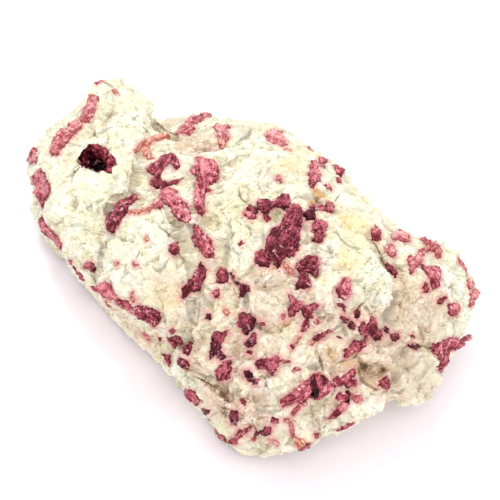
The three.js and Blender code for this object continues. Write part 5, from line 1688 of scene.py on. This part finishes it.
def rockMaterial():
    material, tree, shader = newMaterial("feldspar")
    place = node(tree, "TexCoord", "Object")
    noise = {name: roughNoise(tree, place, *settings) for name, settings in feldspar["noise"].items()}

    def coat(colour, name, value):
        tone, low, high, most = feldspar["coats"][name]
        return blend(tree, times(tree, ranged(tree, value, low, high), most), colour, tone)

    def splitCells(name):
        turn, stretch, scale = feldspar[name]
        return cellValue(tree, node(tree, "Mapping", 0, Vector=place, Rotation=turn, Scale=stretch), scale)

    colour = coat(feldspar["cream"], "buff", noise["broad"])
    colour = coat(colour, "chalk", noise["medium"])
    colour = coat(colour, "greyGrain", cellValue(tree, place, feldspar["grainScale"]))
    colour = coat(colour, "tanGrain", cellValue(tree, place, feldspar["grainScale"], 1))
    stainWobble, rimWobble, recessShadeWobble = feldspar["wobble"]
    wobble = times(tree, calc(tree, "SUBTRACT", noise["medium"], 0.5), stainWobble)
    broken, placed = feldspar["stainEdge"]
    # stains, with painted light and painted shade among them
    for name, (tone, most) in feldspar["stains"].items():
        layer = layerValue(tree, name)
        share = times(tree, ranged(tree, plus(tree, layer, wobble), *broken), most)
        colour = blend(tree, times(tree, share, ranged(tree, layer, *placed)), colour, tone)
    blush = layerValue(tree, "blush")
    for name in ("worn", "fresh"):
        tone, low, high, most = feldspar["coats"][name]
        share = times(tree, blush, ranged(tree, noise["weather"], low, high))
        colour = blend(tree, times(tree, share, most), colour, tone)
    halo = plus(tree, layerValue(tree, "halo"), times(tree, wobble, rimWobble))
    halo = ranged(tree, halo, *feldspar["rimEdge"])
    halo = times(tree, halo, ranged(tree, noise["patches"], *feldspar["rimPatches"]))
    colour = blend(tree, halo, colour, feldspar["pinkRim"])
    # painted shade: broad recesses and creases darkened in colour
    recess = plus(tree, layerValue(tree, "recess"), times(tree, wobble, recessShadeWobble))
    colour = coat(colour, "recess", recess)
    colour = coat(colour, "dips", layerValue(tree, "hollow"))
    # crack lines, the grey ones partly painted shadow along ledges
    ragged = times(tree, calc(tree, "SUBTRACT", noise["small"], 0.5), feldspar["crackWobble"])
    for name, tone in feldspar["cracks"].items():
        reach = plus(tree, calc(tree, "ABSOLUTE", layerValue(tree, name + "Crack")), ragged)
        share = times(tree, ranged(tree, reach, *feldspar["crackEdge"]), layerValue(tree, name + "Force"))
        colour = blend(tree, share, colour, tone)
    colour = coat(colour, "specks", noise["specks"])
    grain, sheets, steps = feldspar["relief"]
    height = plus(tree, times(tree, noise["small"], grain), times(tree, splitCells("sheets"), sheets))
    height = plus(tree, height, times(tree, splitCells("steps"), steps))
    finishSurface(tree, shader, feldspar, colour, noise["small"], height)
    return material


# The crystals' finish: deep tone, also painted into crevices and along edges as shade, body, light facet,
# painted highlight
crystalTones = {
    "rose": ((0.25, 0.040, 0.049), (0.50, 0.160, 0.168), (0.78, 0.41, 0.39), (0.95, 0.78, 0.75)),
    "magenta": ((0.132, 0.009, 0.017), (0.39, 0.082, 0.110), (0.68, 0.27, 0.285), (0.94, 0.66, 0.66)),
    "wine": ((0.066, 0.004, 0.008), (0.240, 0.036, 0.056), (0.52, 0.150, 0.180), (0.86, 0.50, 0.52)),
    "plum": ((0.032, 0.003, 0.006), (0.125, 0.015, 0.026), (0.32, 0.066, 0.088), (0.68, 0.34, 0.38)),
    "salmon": ((0.30, 0.080, 0.055), (0.55, 0.21, 0.15), (0.76, 0.42, 0.32), (0.92, 0.72, 0.60)),
    "ochre": ((0.40, 0.15, 0.05), (0.74, 0.38, 0.19), (0.86, 0.57, 0.37), (0.95, 0.78, 0.60)),
    "black": ((0.008, 0.001, 0.002), (0.030, 0.002, 0.005), (0.11, 0.012, 0.020), (0.36, 0.12, 0.14)),
    # the vug's lining; its near-black deep tone is painted shadow in the pocket
    "pocket": ((0.006, 0.001, 0.002), (0.26, 0.022, 0.045), (0.62, 0.15, 0.18), (0.80, 0.36, 0.40)),
}

tourmaline = {
    "streaks": (0.45, 1.9),  # how long and how narrow, per mm
    "noise": (1.0, 420.0, 1500.0),  # scales of streaks, patches and the finest grain
    "spark": 1100.0,
    "level": (0.20, 0.9, 1.0, 1.0, 0.14),  # shares of facets, streaks, patches, grain and lean in the tone; the lean is painted shade, paler towards one side
    "body": (1.31, 1.57),
    "light": (1.54, 1.80),
    "rim": (0.25, 0.95, 0.7, 0.97),  # where the painted shade of edges and crevices comes in, its most, and that in the vug
    # painted highlights: where the cells sparkle, the grain within them, and the most of it
    "glint": ((0.89, 0.96), (0.45, 0.6), 0.6),
    "roughness": (0.35, 0.65, 0.32, 0.55),
    "shader": {
        "Specular IOR Level": 0.14, "Subsurface Weight": 0.10, "Subsurface Radius": (1.0, 0.35, 0.4),
        "Subsurface Scale": 0.0008,
    },
    "relief": (0.7, 0.5),  # shares of grain and streaks
    "bump": (0.5, 0.0003),
}


def crystalMaterial(shade):
    deep, body, light, glint = crystalTones[shade]
    material, tree, shader = newMaterial("tourmaline_" + shade)
    place = node(tree, "TexCoord", "Object")
    long, narrow = tourmaline["streaks"]
    along = times(tree, layerValue(tree, "along"), long)
    across = times(tree, layerValue(tree, "across"), narrow)
    laid = node(tree, "CombineXYZ", 0, X=along, Y=across)
    streaks, patches, fine = (
        roughNoise(tree, where, scale) for where, scale in zip((laid, place, place), tourmaline["noise"]))
    parts = (layerValue(tree, "facet"), streaks, patches, fine, layerValue(tree, "lean"))
    level = 0.0
    for value, share in zip(parts, tourmaline["level"]):
        level = plus(tree, level, times(tree, value, share))
    colour = blend(tree, ranged(tree, level, *tourmaline["body"]), deep, body)
    colour = blend(tree, ranged(tree, level, *tourmaline["light"]), colour, light)
    # painted shade in the crevices, along the edges and deep in the vug
    low, high, most, pocketMost = tourmaline["rim"]
    most = pocketMost if shade == "pocket" else most
    rim = times(tree, ranged(tree, layerValue(tree, "seam"), low, high), most)
    colour = blend(tree, rim, colour, deep)
    # painted highlights: small pale sparkles on the facets
    cells, grain, most = tourmaline["glint"]
    spark = ranged(tree, cellValue(tree, place, tourmaline["spark"], 1), *cells)
    bright = times(tree, spark, ranged(tree, fine, *grain))
    colour = blend(tree, times(tree, bright, most), colour, glint)
    grainShare, streakShare = tourmaline["relief"]
    height = plus(tree, times(tree, fine, grainShare), times(tree, streaks, streakShare))
    finishSurface(tree, shader, tourmaline, colour, patches, height)
    return material


rockFinish = rockMaterial()
crystalFinishes = {shade: crystalMaterial(shade) for shade in crystalTones}
vugMesh = meshFrom("vug_lining", *joinShells([vugLining]))
shadeBySharpness(vugMesh, crystal["sharp"])
crustPiece = makeObject("vug_lining", vugMesh)
settle(crustPiece, nodeSlots["vug_crust"], "vug_crust")
rockPiece.data.materials.append(rockFinish)
for piece, shade in crystalObjects:
    piece.data.materials.append(crystalFinishes[shade])
crustPiece.data.materials.append(crystalFinishes["pocket"])
for item in frame["nodes"].values():
    item.data.materials.clear()
    item.data.materials.append(rockFinish if item.name == "matrix" else crystalFinishes["wine"])
print("materials made:", len(crystalFinishes) + 1)

# Loose cleavage chips and grains that cling to the broken surface
grains = {
    "spacing": 0.0017,  # metres between chips, at the least
    "density": 400000.0,  # chips to a square metre
    "size": (0.00025, 0.00065),
    "flat": 0.62,  # of a chip's radius, where it is cut flat
    "stretch": ((0.7, 0.5, 0.45), (1.5, 1.0, 0.9)),
    "turn": ((-0.7, -0.7, 0.0), (0.7, 0.7, 6.283)),
    "seed": 31,
    "chips": (1, 2, 3, 4),  # seeds of the shapes they come in
    "ragged": (0.7, 1.15),  # how far from its middle a chip's corners lie
}


def chipShape(seed):
    source = random.Random(seed)
    shape = bmesh.new()
    bmesh.ops.create_icosphere(shape, subdivisions=1, radius=1.0)
    for vertex in shape.verts:
        vertex.co = vertex.co * source.uniform(*grains["ragged"])
        vertex.co.z = max(min(vertex.co.z, grains["flat"]), -grains["flat"])
    mesh = bpy.data.meshes.new("chip")
    shape.to_mesh(mesh)
    shape.free()
    return makeObject("chip%d" % seed, mesh)


def grainTree(chips):
    tree = bpy.data.node_groups.new("cleavageGrains", "GeometryNodeTree")
    face = tree.interface
    face.new_socket("Geometry", in_out="INPUT", socket_type="NodeSocketGeometry")
    sockets = [(label, "NodeSocketFloat") for label in ("Spacing", "Density", "Smallest", "Largest")]
    sockets.append(("Seed", "NodeSocketInt"))
    identifiers = []
    for label, kind in sockets:
        identifiers.append(face.new_socket(label, in_out="INPUT", socket_type=kind).identifier)
    face.new_socket("Geometry", in_out="OUTPUT", socket_type="NodeSocketGeometry")

    def add(kind, inputs, **settings):
        made = tree.nodes.new(kind)
        for key, value in settings.items():
            setattr(made, key, value)
        for key, value in inputs.items():
            plug(tree, value, made.inputs[key])
        return made.outputs

    def randomVector(limits, seed):
        inputs = {0: limits[0], 1: limits[1], "Seed": seed}
        return add("FunctionNodeRandomValue", inputs, data_type="FLOAT_VECTOR")[0]

    source = add("NodeGroupInput", {})
    bare = add("GeometryNodeInputNamedAttribute", {"Name": "bare"}, data_type="FLOAT")
    scatter = add("GeometryNodeDistributePointsOnFaces", {
        "Mesh": source["Geometry"], "Distance Min": source["Spacing"], "Density Max": source["Density"],
        "Density Factor": bare["Attribute"], "Seed": source["Seed"],
    }, distribute_method="POISSON")
    gather = tree.nodes.new("GeometryNodeGeometryToInstance")
    for chip in reversed(chips):
        tree.links.new(add("GeometryNodeObjectInfo", {"Object": chip})["Geometry"], gather.inputs[0])
    pick = add("FunctionNodeRandomValue", {4: 0, 5: len(chips) - 1}, data_type="INT")[2]
    sizes = {2: source["Smallest"], 3: source["Largest"], "Seed": 3}
    size = add("FunctionNodeRandomValue", sizes, data_type="FLOAT")[1]
    stretch = randomVector(grains["stretch"], 4)
    sized = add("ShaderNodeVectorMath", {0: stretch, "Scale": size}, operation="SCALE")[0]
    turn = add("FunctionNodeEulerToRotation", {0: randomVector(grains["turn"], 5)})[0]
    turned = add("FunctionNodeRotateRotation", {0: scatter["Rotation"], 1: turn}, rotation_space="LOCAL")[0]
    placed = add("GeometryNodeInstanceOnPoints", {
        "Points": scatter["Points"], "Instance": gather.outputs[0], "Pick Instance": True,
        "Instance Index": pick, "Rotation": turned, "Scale": sized,
    })
    real = add("GeometryNodeRealizeInstances", {0: placed[0]})
    finished = add("GeometryNodeSetMaterial", {0: real[0], "Material": rockFinish})
    add("NodeGroupOutput", {0: finished[0]})
    return tree, identifiers


def strewGrains():
    chips = [chipShape(seed) for seed in grains["chips"]]
    tree, identifiers = grainTree(chips)
    ground = makeObject("grainGround", rockPiece.data.copy())
    modifier = ground.modifiers.new("grains", "NODES")
    modifier.node_group = tree
    values = (grains["spacing"], grains["density"], *grains["size"], grains["seed"])
    for identifier, value in zip(identifiers, values):
        modifier[identifier] = value
    mesh = evaluatedMesh(ground)
    for item in (ground, *chips):
        bpy.data.objects.remove(item)
    mesh.name = "cleavage_grains"
    places = meshArrays(mesh)[0]
    mesh.vertices.foreach_set("co", insideBox(places).ravel())
    mesh.update()
    piece = makeObject("cleavage_grains", mesh)
    settle(piece, "matrix")
    return piece


grainPiece = strewGrains()
print("grains strewn:", len(grainPiece.data.polygons), "triangles")

# The floor, the world and two lamps
studio = {
    "world": (1.0, 0.985, 1.0),
    "worldStrength": 1.03,
    "floor": (0.90, 0.84, 0.875),
    "floorHalf": 3.0,  # metres
    "floorDrop": 0.0002,
    "floorGrain": (300.0, 2.0, 0.5),
    "floorShade": 0.99,
    "floorShader": {"Roughness": 0.9, "Specular IOR Level": 0.2},
    "key": {
        "turn": 103.0, "rise": 56.0, "away": 0.8, "size": 0.30, "energy": 2.65, "colour": (1.0, 0.985, 0.95),
    },
    "fill": {
        "turn": 285.0, "rise": 52.0, "away": 0.9, "size": 1.2, "energy": 4.05, "colour": (1.0, 0.99, 1.0),
    },
}


def areaLight(name, settings):
    data = bpy.data.lights.new(name, "AREA")
    data.shape = "DISK"
    data.size = settings["size"]
    data.energy = settings["energy"]
    data.color = settings["colour"]
    light = bpy.data.objects.new(name, data)
    turn = math.radians(settings["turn"])
    rise = math.radians(settings["rise"])
    way = viewRight * math.cos(turn) + Vector((-viewBack.x, -viewBack.y, 0)).normalized() * math.sin(turn)
    way = way * math.cos(rise) + Vector((0, 0, 1)) * math.sin(rise)
    light.location = way * settings["away"]
    light.rotation_mode = "QUATERNION"
    light.rotation_quaternion = (-way).to_track_quat("-Z", "Y")
    bpy.context.scene.collection.objects.link(light)


def makeStudio():
    size = studio["floorHalf"]
    mesh = bpy.data.meshes.new("floor")
    corners = [(-size, -size, 0), (size, -size, 0), (size, size, 0), (-size, size, 0)]
    mesh.from_pydata(corners, [], [(0, 1, 2, 3)])
    floor = makeObject("floor", mesh)
    floor.location.z = -studio["floorDrop"]
    material, tree, shader = newMaterial("paper")
    weave = roughNoise(tree, node(tree, "TexCoord", "Object"), *studio["floorGrain"])
    shaded = tuple(value * studio["floorShade"] for value in studio["floor"])
    plug(tree, blend(tree, weave, studio["floor"], shaded), shader.inputs["Base Color"])
    for name, value in studio["floorShader"].items():
        shader.inputs[name].default_value = value
    mesh.materials.append(material)
    world = bpy.data.worlds.new("studio")
    world.use_nodes = True
    background = world.node_tree.nodes["Background"]
    background.inputs["Color"].default_value = (*studio["world"], 1.0)
    background.inputs["Strength"].default_value = studio["worldStrength"]
    bpy.context.scene.world = world
    areaLight("key", studio["key"])
    areaLight("fill", studio["fill"])
    bpy.context.scene.view_settings.view_transform = "Standard"


makeStudio()
makeCamera()
print("scene ready")
